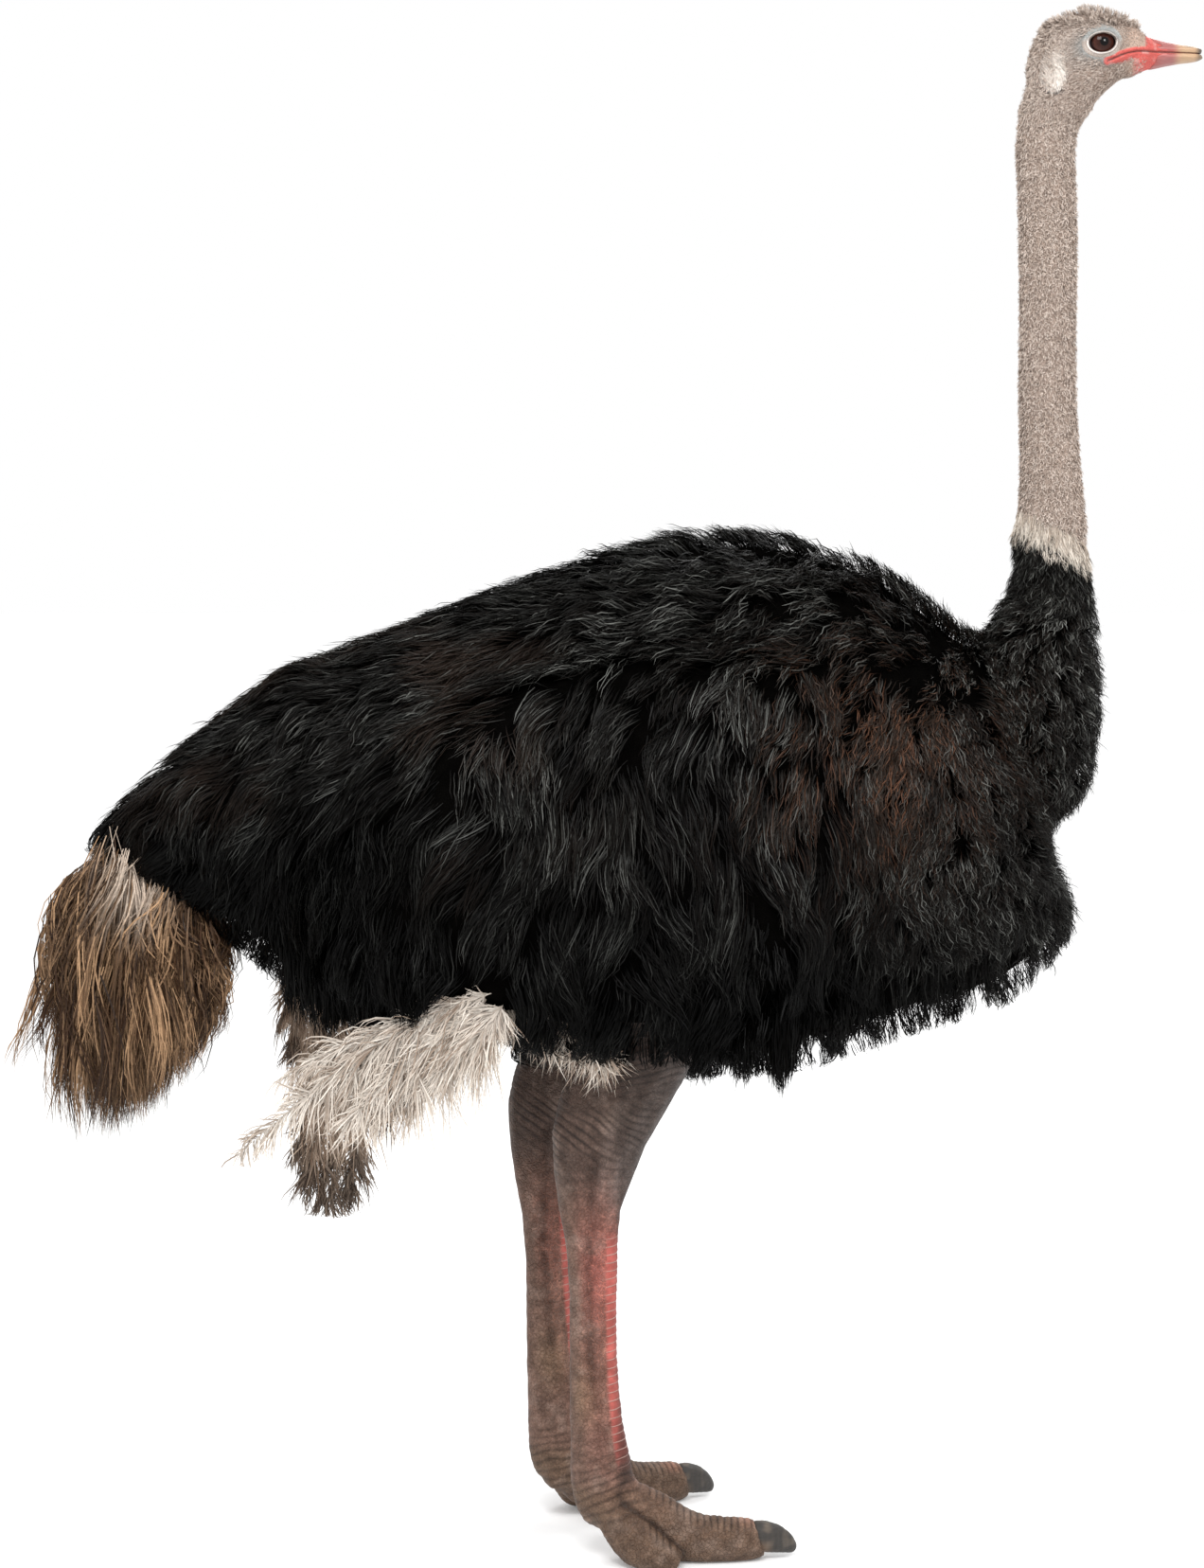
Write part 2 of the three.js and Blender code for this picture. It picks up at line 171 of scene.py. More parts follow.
class Form:
    """A block of sample points that holds the distance to a shape, below zero inside it."""

    def __init__(self, low, high, cell):
        self.low = np.array(low, float)
        self.cell = cell
        self.shape = tuple(int((b - a) / cell) + 2 for a, b in zip(low, high))
        self.distance = None

    def axes(self):
        """The X, Y and Z of the sample points, each ready to combine with the block."""
        grid = [self.low[i] + self.cell * np.arange(n) for i, n in enumerate(self.shape)]
        return np.meshgrid(*grid, indexing="ij", sparse=True)

    def around(self, points, faces, reach):
        """Distances to one closed surface, exact as far away as reach."""
        kind = {3: "triangles", 4: "quads"}[faces.shape[1]]
        grid = vdb.FloatGrid.createLevelSetFromPolygons(
            ((points - self.low) / self.cell).astype(np.float32),
            halfWidth=reach / self.cell,
            **{kind: faces.astype(np.uint32)},
        )
        values = np.zeros(self.shape, np.float32)
        grid.copyToArray(values, ijk=(0, 0, 0))
        return values * self.cell

    def node(self, name, reach):
        """Distances to one CAD solid."""
        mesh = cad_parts[name].data
        mesh.calc_loop_triangles()
        points = np.empty(len(mesh.vertices) * 3, np.float32)
        mesh.vertices.foreach_get("co", points)
        faces = np.empty(len(mesh.loop_triangles) * 3, np.int32)
        mesh.loop_triangles.foreach_get("vertices", faces)
        return self.around(points.reshape(-1, 3), faces.reshape(-1, 3), reach)

    def surface(self, level=0.0, values=None):
        """The points and square faces of the surface at one distance."""
        grid = vdb.FloatGrid(1.0)
        grid.copyFromArray(self.distance if values is None else values)
        points, quads = grid.convertToQuads(isovalue=level)
        return points * self.cell + self.low, quads[:, ::-1].astype(np.int64)

    def soften(self, times):
        """Rounds the shape off, each time by about half a cell."""
        for _ in range(times):
            for axis in range(3):
                d = np.moveaxis(self.distance, axis, 0)
                inner = 0.25 * d[:-2] + 0.5 * d[1:-1] + 0.25 * d[2:]
                d[1:-1] = inner
        return self

    def read(self, values, p):
        """Values between the sample points, by blending the eight around each p."""
        q = (np.asarray(p) - self.low) / self.cell
        q = np.clip(q, 0, np.array(self.shape) - 1.001)
        i = q.astype(np.int64)
        f = q - i
        flat = values.reshape(-1)
        sy, sx = self.shape[2], self.shape[1] * self.shape[2]
        base = i[..., 0] * sx + i[..., 1] * sy + i[..., 2]
        return sum(share * flat[base + a * sx + b * sy + c] for (a, b, c), share in cell_corners(f))

    def height(self, p):
        """How far p stands off the shape's surface."""
        return self.read(self.distance, p)

    def normal(self, p):
        """The way out of the shape at p."""
        step = self.cell
        n = np.stack([
            self.read(self.distance, p + step * axis) - self.read(self.distance, p - step * axis)
            for axis in np.eye(3)
        ], -1)
        return n / np.maximum(np.linalg.norm(n, axis=-1, keepdims=True), 1e-9)


def joined(form, names, reach):
    """Distances to several CAD solids that almost touch, with the thin gaps between them filled."""
    nearest = np.minimum.reduce([form.node(name, reach) for name in names])
    points, quads = form.surface(GLUE_GAP, nearest)
    return form.around(points, quads, reach) + GLUE_GAP


def node_span(names, margin):
    """The box round several CAD nodes, widened by a margin."""
    boxes = [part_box(name) for name in names]
    low = np.min([b[0] for b in boxes], axis=0) - margin
    high = np.max([b[1] for b in boxes], axis=0) + margin
    return low, high


def ramp(value, start, end):
    """Goes smoothly from 0 at start to 1 at end."""
    t = np.clip((value - start) / (end - start), 0, 1)
    return t * t * (3 - 2 * t)


def sunk(distance, depth):
    """Distances to the same shape with its surface let in by a depth at each place."""
    return distance + np.asarray(depth, np.float32)


low, high = node_span(BODY_NODES, 0.06)
coat = Form(low, high, BODY_CELL)
coat.distance = joined(coat, BODY_NODES, 0.12)
coat.soften(5)

x, y, z = coat.axes()
sleek_back = ramp(x, 0.02, -0.18) * ramp(z, 0.95, 1.1)
hollow_neck = ramp(z, 1.12, 1.26) * ramp(x, 0.48, 0.58)
shaggy_belly = ramp(z, 0.95, 0.72)
coat_depth = COAT_DEPTH - 0.009 * sleek_back - 0.012 * hollow_neck + 0.014 * shaggy_belly
under_coat = sunk(coat.distance, coat_depth)
loose = Form(coat.low, coat.low, BODY_CELL * SKIN_STRIDE)
body_points, body_quads = loose.surface(values=under_coat[::SKIN_STRIDE, ::SKIN_STRIDE, ::SKIN_STRIDE].copy())


# ---------------------------------------------------------------------------------------------
# Neck and head: bare skin under short curly down, drawn tight over the windpipe and the skull.
# The eye sockets are domed, the mouth line runs back under the eye, and the ear has a crease.
NECK_NODES = ("neck_base", "neck_collar", "neck_lower", "neck_middle", "neck_upper")
NECK_CELL = 0.0036
HEAD_CELL = 0.0016
HEAD_FOOT = 1.985
HEAD_OVERLAP = 0.035
DOWN_DEPTH = 0.0035
CROWN_FUZZ = 0.0030
RING_DEPTH = 0.0006
RING_SPACING = 0.019
LID_THICKNESS = 0.0014
BROW_RIDGE = 0.0022
CHEEK_HOLLOW = 0.0016
EAR_CREASE = 0.0026
EAR_MOUND = 0.0022
LIP_ROLL = 0.0012
MOUTH_CUT = 0.0030
SOCKET_WALL = 0.014

eye_low, eye_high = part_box("eye_right")
eye_radius = (eye_high.x - eye_low.x) / 2
eye_x = (eye_high.x + eye_low.x) / 2
eye_z = (eye_high.z + eye_low.z) / 2
eye_y = -eye_low.y - eye_radius
ear_x, _, ear_z = np.add(*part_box("ear_right")) / 2
gape = np.array([eye_x + 0.008, eye_z - 0.0250])
bill_low, bill_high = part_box("bill_upper")
bill_root = np.array([bill_low.x, bill_low.z])
bill_tip = np.array([bill_high.x, bill_low.z])
MOUTH_BENDS = ((0.009, 0.0040), (0.018, 0.0080), (0.028, 0.0115), (0.040, 0.0143), (0.052, 0.0156))
BROW = ((-0.019, 0.014), (0, 0.021), (0.020, 0.013), (0.028, 0.002))
EAR_FRONT = ((0.009, 0.017), (0.017, -0.001))
EAR_UNDER = ((0.011, -0.024), (0.001, -0.030), (-0.014, -0.026))
mouth_line = [gape, *(gape + bend for bend in MOUTH_BENDS), bill_root, bill_tip]
brow = [np.array([eye_x + x, eye_z + z]) for x, z in BROW]
ear_front = [np.array([ear_x + x, ear_z + z]) for x, z in EAR_FRONT]
ear_under = [np.array([ear_x + x, ear_z + z]) for x, z in EAR_UNDER]


def beside_line(x, z, line):
    """Distance in the side view to a line of points."""
    nearest = 1.0
    for a, b in zip(line[:-1], line[1:]):
        ab = b - a
        t = np.clip(((x - a[0]) * ab[0] + (z - a[1]) * ab[1]) / (ab @ ab), 0, 1)
        nearest = np.minimum(nearest, np.hypot(x - a[0] - t * ab[0], z - a[1] - t * ab[1]))
    return nearest


def bump(distance, width):
    """A soft mound, 1 at distance 0."""
    return np.exp(-((distance / width) ** 2))


def melt(a, b, width):
    """Joins two distance blocks with a rounded fillet."""
    h = np.clip(0.5 + 0.5 * (b - a) / width, 0, 1)
    return b + (a - b) * h - width * h * (1 - h)


def eye_opening(x, z):
    """The almond between the lids: below 1 inside it. The upper lid is drawn a little flatter."""
    across = (x - eye_x) / 0.0198
    up = (z - eye_z + 0.0008) / np.where(z > eye_z, 0.0132, 0.0136)
    tilt = 0.06 * across
    return np.hypot(across, up - tilt) ** 2 * (1 + 0.12 * np.abs(across) ** 3)


low, high = node_span(NECK_NODES, 0.012)
low[2] = 1.30
high[2] = HEAD_FOOT + HEAD_OVERLAP
neck = Form(low, high, NECK_CELL)
neck.distance = joined(neck, (*NECK_NODES, "head"), 0.03)
neck.soften(6)
x, y, z = neck.axes()
neck_depth = DOWN_DEPTH + 0.010 * ramp(z, 1.45, 1.38) + 0.0012 * ramp(z, HEAD_FOOT - 0.02, HEAD_FOOT + 0.01)
windpipe_rings = RING_DEPTH * np.sin(z * 2 * math.pi / RING_SPACING) * ramp(x, 0.63, 0.66)
under_down = sunk(neck.distance, neck_depth + windpipe_rings)
neck_points, neck_quads = neck.surface(values=under_down)

low, high = node_span(("head", "bill_upper"), 0.010)
low[2] = HEAD_FOOT
head = Form(low, high, HEAD_CELL)
head.distance = joined(
    head, ("neck_upper", "head", "eye_right", "eye_left", "bill_upper", "bill_lower"), 0.014,
)
head.soften(7)
x, y, z = head.axes()
faceted = head.distance.copy()
head.soften(60)
under_jaw = ramp(z, 2.088, 2.060) * ramp(x, eye_x + 0.055, eye_x + 0.030)
throat = np.maximum(ramp(x, eye_x - 0.008, eye_x - 0.036), under_jaw) * ramp(z, 2.012, 2.030)
head.distance = (faceted + (head.distance - faceted) * throat).astype(np.float32)
from_eye = np.sqrt((x - eye_x) ** 2 + (np.abs(y) - eye_y) ** 2 + (z - eye_z) ** 2)
around_eye = np.hypot(x - eye_x, z - eye_z)
from_mouth = beside_line(x, z, mouth_line)
bare_face = np.maximum(ramp(around_eye, 0.032, 0.024), ramp(x, eye_x + 0.037, eye_x + 0.052))
bare_face = np.maximum(bare_face, ramp(from_mouth, 0.008, 0.005))
crown = ramp(z, eye_z + 0.022, eye_z + 0.040) * ramp(x, eye_x + 0.064, eye_x + 0.040)
crown = np.maximum(crown, 0.7 * ramp(x, eye_x - 0.050, eye_x - 0.075) * ramp(z, 2.07, 2.11))
skull_depth = DOWN_DEPTH * (1 - 0.85 * bare_face) + CROWN_FUZZ * crown
skull = sunk(head.distance, skull_depth)
ear_crease = np.minimum(beside_line(x, z, ear_front), beside_line(x, z, ear_under))
aside = ramp(np.abs(y), 0.012, 0.022)
skull = melt(skull, (from_eye - eye_radius - LID_THICKNESS * 0.6).astype(np.float32), 0.007)
skull = sunk(skull, -BROW_RIDGE * bump(beside_line(x, z, brow), 0.004) * aside)
skull = sunk(skull, CHEEK_HOLLOW * bump(np.hypot(x - eye_x + 0.012, z - eye_z + 0.026), 0.010) * aside)
skull = sunk(skull, EAR_CREASE * bump(ear_crease, 0.0026) * aside)
skull = sunk(skull, -EAR_MOUND * bump(np.hypot((x - ear_x) / 0.6, z - ear_z), 0.019) * aside)
skull = sunk(skull, -LIP_ROLL * bump(from_mouth - 0.0032, 0.0022) * aside)
skull = sunk(skull, MOUTH_CUT * bump(from_mouth, 0.0013) * ramp(x, gape[0] - 0.002, gape[0] + 0.006))
face = Form(head.low, head.low, HEAD_CELL)
face.shape = head.shape
face.distance = skull
opening = (np.sqrt(eye_opening(x, z)) - 1.06) * SOCKET_WALL
socket = np.maximum(opening, eye_y + 0.002 - np.abs(y))
head_points, head_quads = head.surface(values=np.maximum(skull, -socket).astype(np.float32))


# ---------------------------------------------------------------------------------------------
# Eyelids: a pale, rounded rim of skin drawn round each eye, a crease, and the loose blue-grey
# fold of the upper lid. Each row gives a size of the almond and a height over the skin in mm.
LID_ROWS = [
    (0.955, -1.1), (0.985, -0.3), (1.005, 0.4), (1.03, 0.85), (1.06, 1.05), (1.09, 0.95), (1.12, 0.6),
    (1.15, 0.1), (1.20, 0.4), (1.28, 0.9), (1.36, 0.85), (1.44, 0.3), (1.52, -0.9),
]
LID_TURNS = 112


def onto_face(x, z, side, lift):
    """Points on one side of the head at this x and z, lifted off the skin."""
    p = np.stack([x, np.full_like(x, side * 0.062), z], -1)
    for _ in range(40):
        p[:, 1] -= side * np.clip(face.height(p), -0.004, 0.004) * 0.9
    return p + face.normal(p) * lift[:, None]


def eyelid(side):
    """Points and faces of the lids round one eye."""
    turn = np.arange(LID_TURNS) * 2 * math.pi / LID_TURNS
    reach = np.ones(LID_TURNS)
    for _ in range(30):
        x = eye_x + 0.018 * reach * np.cos(turn)
        z = eye_z + 0.012 * reach * np.sin(turn)
        reach /= np.sqrt(eye_opening(x, z))
    rows = []
    for scale, lift in LID_ROWS:
        upper = 1 + 0.10 * max(scale - 1.1, 0) * 10 * np.clip(np.sin(turn), 0, 1)
        x = eye_x + 0.018 * reach * scale * np.cos(turn)
        z = eye_z + 0.012 * reach * scale * np.sin(turn) * upper
        fold = np.where(np.sin(turn) > 0, 1.0, 0.55) if scale > 1.16 else 1.0
        rows.append(onto_face(x, z, side, lift / 1000 * fold * np.ones(LID_TURNS)))
    points = np.concatenate(rows)
    quads = ring_quads(0, len(LID_ROWS) - 1, LID_TURNS)[:, [0, 3, 2, 1]]
    return points, quads[:, ::-1] if side < 0 else quads


lids = {side: eyelid(side) for side in (-1, 1)}


# ---------------------------------------------------------------------------------------------
# Legs and feet: tough bare skin over bone and tendon. Plates run down the front of the shank and
# over the toes, small scales cover the sides, and folds gather at the ankle and the toe joint.
LEG_CELL = 0.0030
LEG_NODES = ("shank", "tarsus", "toe_main", "toe_outer")
HOCK_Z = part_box("tarsus_right")[1].z
FOOT_TOP = 0.125
ANKLE_Z = 0.12
TOE_JOINT_Z = 0.098
PLATE_HEIGHT = 0.0115
PLATE_RISE = 0.0015
TOE_PLATE_RUN = 0.0095
TOE_PLATE_RISE = 0.0014
TENDON_GROOVE = 0.0052
TOE_CLEFT = 0.0020
SKIN_LUMPS = 0.0007
FOOT_GRIT = 0.0006


def ripple(p, size, seed=0):
    """Smooth random waves in space, between -1 and 1, about one wave to each size."""
    q = np.asarray(p, float) / size
    cell = np.floor(q).astype(np.int64)
    f = q - cell
    f = f * f * (3 - 2 * f)
    total = 0.0
    for corner, share in cell_corners(f):
        i, j, k = np.moveaxis(cell + corner, -1, 0)
        n = (i * 73856093 ^ j * 19349663 ^ k * 83492791 ^ seed * 2654435761) & 0xFFFFFFFF
        n = (n ^ (n >> 13)) * 1274126177 & 0xFFFFFFFF
        total = total + (((n ^ (n >> 16)) & 0xFFFF) / 32767.5 - 1) * share
    return total


def leg_skin(side_name):
    """Points, faces and colour masks of one leg's skin."""
    names = [f"{node}_{side_name}" for node in LEG_NODES]
    low, high = node_span(names, 0.010)
    thigh_top = high[2]
    high[2] += 0.05
    leg = Form(low, high, LEG_CELL)
    leg.distance = joined(leg, names, 0.016)
    shank_low, shank_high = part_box(names[0])
    thigh = (0.45 * shank_low.x + 0.55 * shank_high.x, (shank_low.y + shank_high.y) / 2)
    x, y, z = leg.axes()
    stump = np.sqrt((x - thigh[0]) ** 2 + (y - thigh[1]) ** 2 + (z - thigh_top - 0.01) ** 2 * 0.6) - 0.058
    leg.distance = melt(leg.distance, stump.astype(np.float32), 0.03)
    leg.soften(5)
    points, quads = leg.surface()
    out = leg.normal(points)
    px, py, pz = points.T
    toe_tip = np.add(*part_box(f"claw_{side_name}"))[:2] / 2
    band = (pz > 0.15) & (pz < 0.50)
    axis_x = np.polyfit(pz[band], px[band], 2)
    axis_y = np.polyfit(pz[band], py[band], 1)
    level = np.clip(pz, 0.10, 0.56)
    from_axis = np.stack([px - np.polyval(axis_x, level), py - np.polyval(axis_y, level)], -1)
    ankle = np.array([np.polyval(axis_x, ANKLE_Z), np.polyval(axis_y, ANKLE_Z)])
    ahead = toe_tip - ankle
    ahead /= np.linalg.norm(ahead)
    turn = ramp(pz, 0.45, 0.15)[:, None]
    front = np.array([1.0, 0.0]) * (1 - turn) + ahead * turn
    front /= np.linalg.norm(front, axis=1, keepdims=True)
    across = from_axis[:, 0] * front[:, 1] - from_axis[:, 1] * front[:, 0]
    forward = (from_axis * front).sum(1)
    facing = (out[:, :2] * front).sum(1)

    # plates down the front, overlapping downwards
    on_front = ramp(facing, 0.30, 0.46) * ramp(pz, FOOT_TOP, 0.16) * ramp(pz, 0.475, 0.44)
    plate_phase = (pz + 5.0 * across**2 + 0.0016 * ripple(points, 0.03, 3)) / PLATE_HEIGHT
    step = np.mod(plate_phase, 1)
    plate = (0.35 + 0.65 * (1 - step)) * ramp(step, 0.0, 0.14) * ramp(1 - step, 0.0, 0.10)
    lift = PLATE_RISE * on_front * plate

    # plates over the top of the toes
    on_foot = ramp(pz, FOOT_TOP, 0.095)
    toe_run = ((points[:, :2] - ankle) * ahead).sum(1)
    on_toe = on_foot * ramp(out[:, 2], 0.45, 0.8) * ramp(toe_run, 0.045, 0.075)
    fold_phase = (toe_run + 0.0012 * ripple(points, 0.02, 5)) / TOE_PLATE_RUN
    lift += TOE_PLATE_RISE * on_toe * (np.abs(np.sin(math.pi * fold_phase)) ** 0.6 - 0.6)
    folds = 0.8 * on_toe
    shade = 0 * pz

    # folds round the toe joint and the ankle
    hock_folds = bump(pz - HOCK_Z - 0.020, 0.060) * ramp(facing, 0.92, 0.2)
    hock_folds *= ramp(ripple(points, 0.030, 33), -0.7, 0.5)
    toe_joint = np.array([*(ankle + 0.012 * ahead), TOE_JOINT_Z])
    toe_folds = bump(np.linalg.norm(points - toe_joint, axis=1), 0.055)
    rows = [
        (0.0125, -0.35, 0.006, 0.035, 0.0020, toe_folds),
        (0.0125, 0.62, 0.012, 0.045, 0.0018, hock_folds),
        (0.0100, -0.25, 0.006, 0.040, 0.0008, 0.7 * ramp(pz, HOCK_Z + 0.06, HOCK_Z + 0.11)),
    ]
    for seed, (size, slant, wander, wave, depth, mask) in enumerate(rows):
        phase = (pz + slant * forward + wander * ripple(points, wave, 7 + 2 * seed)) / size
        fold_phase = np.where(mask > folds, phase, fold_phase)
        folds = np.maximum(folds, mask)
        lift += depth * mask * (np.abs(np.sin(math.pi * phase)) ** 0.6 - 0.6)

    # the groove between the bone in front and the tendons behind, on both sides of the leg, with painted
    # shade in it
    groove_x = -0.004 + 0.05 * np.maximum(pz - 0.42, 0)
    along_bone = ramp(pz, 0.17, 0.26) * ramp(pz, HOCK_Z + 0.03, HOCK_Z - 0.03)
    groove = bump(forward - groove_x, 0.0075) * along_bone * ramp(np.abs(across), 0.006, 0.014)
    lift -= TENDON_GROOVE * groove
    shade += 0.55 * groove

    # the cleft between the two toes, with painted shade in it
    cleft = np.abs(leg.read(leg.node(names[2], 0.016), points) - leg.read(leg.node(names[3], 0.016), points))
    cleft = ramp(cleft, 0.008, 0.001) * ramp(toe_run, 0.012, 0.030)
    lift -= TOE_CLEFT * cleft
    shade += 0.9 * cleft
    lift += SKIN_LUMPS * ripple(points, 0.012, 13) + FOOT_GRIT * ripple(points, 0.005, 15) * on_foot
    flat = ramp(pz, 0.001, 0.006)
    points = points + out * (lift * flat)[:, None]
    points[:, 2] = np.maximum(points[:, 2], 0)

    down_front = ramp(facing, -0.6, 0.1) * (1 - 0.6 * ramp(out[:, 1] * np.sign(ankle[1]), 0.0, -0.5))
    masks = {
        "hock": ramp(pz, HOCK_Z - 0.11, HOCK_Z - 0.02) * (1 - 0.6 * ramp(facing, 0.0, 0.7)),
        "foot": on_foot,
        "slate": ramp(facing, -0.1, 0.7) * ramp(pz, HOCK_Z - 0.12, HOCK_Z - 0.03),
        "bloom": ramp(ripple(points, 0.030, 17) + 0.7 * ripple(points, 0.010, 18), 0.05, 0.9),
        "flush": down_front * bump(pz - 0.41, 0.085) + 0.30 * down_front * bump(pz - 0.22, 0.10),
        "ochre": bump(pz - 0.235, 0.040) * bump(facing + 0.25, 0.4) * ramp(pz, 0.16, 0.2),
        "plates": on_front,
        "plate_phase": plate_phase,
        "folds": folds,
        "fold_phase": fold_phase,
        "shade": shade,
        "net": 0.2 + 0.8 * ramp(facing, -0.6, 0.1) * bump(pz - 0.37, 0.13),
        "tip": on_toe * bump(np.linalg.norm(points[:, :2] - toe_tip + 0.036 * ahead, axis=1), 0.014),
    }
    return points, quads, masks


legs = {side: leg_skin(side) for side in ("right", "left")}


# ---------------------------------------------------------------------------------------------
# One skin: body, neck, head and legs are a single hide drawn over the manikin. Under the black
# plumage it is painted near black, as painted shade in the gaps of the coat; it is pinkish grey
# under the down, and brown and scaly on the legs.
# painted shade: the hide under the black coat is near black, so the gaps between strands read as shadow
SHADE_UNDER_COAT = (0.0020, 0.0018, 0.0016)
NECK_HIDE = (0.400, 0.315, 0.265)
FACE_HIDE = (0.500, 0.370, 0.300)
SOCKET_BLUE = (0.330, 0.345, 0.340)
GAPE_RED = (0.660, 0.125, 0.108)
# painted shade for the crease round the ear
EAR_CREASE_SHADE = (0.150, 0.142, 0.135)
EAR_PALE = (0.560, 0.480, 0.410)
LID_RIM = (0.760, 0.690, 0.650)
LID_AND_MOUTH_SHADE = (0.090, 0.060, 0.055)
LEG_HIDE = (0.205, 0.122, 0.092)
HOCK_HIDE = (0.092, 0.058, 0.045)
FOOT_HIDE = (0.165, 0.104, 0.070)
PLATE_RED = (0.500, 0.115, 0.095)
FLUSH_PINK = (0.400, 0.130, 0.108)
SLATE_GREY = (0.300, 0.255, 0.240)
TIP_SALMON = (0.420, 0.220, 0.155)
OCHRE = (0.330, 0.230, 0.130)
SEAM_PALE = (0.430, 0.330, 0.280)
LEG_CREASE_SHADE = (0.030, 0.017, 0.012)
PORE_DEPTH = 0.0003
SCALE_DEPTH = 0.0016


def tinted(base, *layers):
    """One colour per point: base, then each (colour, strength) laid over it."""
    colours = np.array(base, float) * np.ones((len(layers[0][1]), 1))
    for colour, strength in layers:
        colours = laid_over(colours, colour, np.clip(strength, 0, 1)[:, None])
    return colours


def laid_over(colours, colour, strength):
    """Colours with another laid over them by a strength from 0 to 1 at each."""
    return colours * (1 - strength) + np.array(colour) * strength


def tint_points(item, colours):
    """Stores one colour for each point of a piece as its tint."""
    rgba = np.ones((len(colours), 4), np.float32)
    rgba[:, :3] = colours
    layer = item.data.color_attributes.new("tint", "FLOAT_COLOR", "POINT")
    layer.data.foreach_set("color", rgba.ravel())


def add_node(tree, kind, inputs=None, **settings):
    """A shader node. Each input is a value, or an output of another node to link."""
    made = tree.nodes.new("ShaderNode" + kind)
    for name, value in settings.items():
        setattr(made, name, value)
    for name, value in (inputs or {}).items():
        if isinstance(value, bpy.types.NodeSocket):
            tree.links.new(value, made.inputs[name])
        else:
            made.inputs[name].default_value = value
    return made


def stored(tree, name, output="Fac"):
    """A value or colour that the mesh carries for each of its points."""
    return add_node(tree, "Attribute", attribute_name=name).outputs[output]


def mix_colours(tree, factor, a, b, blend="MIX"):
    """The colour output of a mix of a and b, each a colour or a link."""
    made = tree.nodes.new("ShaderNodeMix")
    made.data_type = "RGBA"
    made.blend_type = blend
    for index, value in ((0, factor), (6, a), (7, b)):
        if isinstance(value, bpy.types.NodeSocket):
            tree.links.new(value, made.inputs[index])
        else:
            made.inputs[index].default_value = value
    return made.outputs[2]


def grain(tree, scale, detail=2.0, low=0.4, high=0.6):
    """A noise over the object's own coordinates, stretched to run from 0 to 1."""
    place = add_node(tree, "TexCoord")
    noise = add_node(tree, "TexNoise", {
        "Vector": place.outputs["Object"], "Scale": scale, "Detail": detail,
    })
    stretch = add_node(tree, "MapRange", {
        "Value": noise.outputs["Fac"], "From Min": low, "From Max": high,
    })
    return stretch.outputs["Result"]


def cell_edges(tree, scale, width):
    """Small cells over the skin: 0 on their edges, rising to 1 by this width inside them."""
    place = add_node(tree, "TexCoord").outputs["Object"]
    cells = add_node(tree, "TexVoronoi", {"Vector": place, "Scale": scale}, feature="DISTANCE_TO_EDGE")
    rise = add_node(tree, "MapRange", {"Value": cells.outputs["Distance"], "From Max": width})
    return rise.outputs["Result"]


def set_look(tree, shader, colour, roughness, specular):
    """Gives a shader its colour from another node, and how it shines."""
    tree.links.new(colour, shader.inputs["Base Color"])
    shader.inputs["Roughness"].default_value = roughness
    shader.inputs["Specular IOR Level"].default_value = specular


def add_bump(tree, shader, height, depth):
    """Raises the surface's shading by a height texture of this depth in metres."""
    relief = add_node(tree, "Bump", {"Height": height, "Distance": depth, "Strength": 1.0})
    tree.links.new(relief.outputs["Normal"], shader.inputs["Normal"])


def hide_material(name, mottle, cell_scale, edge_colour, roughness, specular):
    """Skin: the tint of the place, mottled by noise, with small cells in relief."""
    material, tree, shader = node_material(name)
    tint = stored(tree, "tint", "Color")
    patches = mix_colours(tree, grain(tree, 38, 4), tint, (mottle, mottle, mottle, 1), "MULTIPLY")
    edges = cell_edges(tree, cell_scale, 0.16)
    shaded = mix_colours(tree, edges, edge_colour, (1, 1, 1, 1))
    colour = mix_colours(tree, 1.0, patches, shaded, "MULTIPLY")
    set_look(tree, shader, colour, roughness, specular)
    add_bump(tree, shader, edges, PORE_DEPTH)
    return material


def seams(tree, phase_name, width):
    """0 on the lines where a stored phase passes a whole number, 1 away from them."""
    phase = stored(tree, phase_name)
    near = add_node(tree, "Math", {0: phase, 1: 0.5}, operation="PINGPONG").outputs["Value"]
    return add_node(tree, "MapRange", {"Value": near, "From Max": width}).outputs["Result"]


def scaly_material(name):
    """Leg skin: small pale-edged scales, plates with pale seams, and folds whose bottoms are darkened as
    painted shade, with the rest of each fold painted a little lighter.
    """
    material, tree, shader = node_material(name)
    tint = stored(tree, "tint", "Color")
    plates = stored(tree, "plates")
    folds = stored(tree, "folds")
    net = stored(tree, "net")
    scale = cell_edges(tree, 160.0, 0.13)
    grit = grain(tree, 330, 6, 0.36, 0.62)
    patches = mix_colours(tree, grain(tree, 60, 9, 0.36, 0.62), tint, (0.60, 0.58, 0.56, 1), "MULTIPLY")
    gritty = mix_colours(tree, grit, patches, (0.66, 0.64, 0.62, 1), "MULTIPLY")
    edges = mix_colours(tree, scale, (1.9, 1.75, 1.65, 1), (0.94, 0.94, 0.94, 1))
    scaly = mix_colours(tree, net, gritty, edges, "MULTIPLY")
    seam = seams(tree, "plate_phase", 0.10)
    plated = mix_colours(tree, seam, (0.52, 0.33, 0.28, 1), patches)
    colour = mix_colours(tree, plates, scaly, plated)
    fold = seams(tree, "fold_phase", 0.30)
    # painted shade in the bottoms of the folds and painted light a little over the rest
    painted_fold_shade = mix_colours(tree, fold, (0.26, 0.23, 0.21, 1), (1.12, 1.12, 1.12, 1))
    colour = mix_colours(tree, folds, colour, painted_fold_shade, "MULTIPLY")
    set_look(tree, shader, colour, 0.55, 0.25)
    height = mix_colours(tree, plates, scale, seam)
    height = mix_colours(tree, folds, height, fold)
    add_bump(tree, shader, mix_colours(tree, 0.3, height, grit), SCALE_DEPTH)
    return material


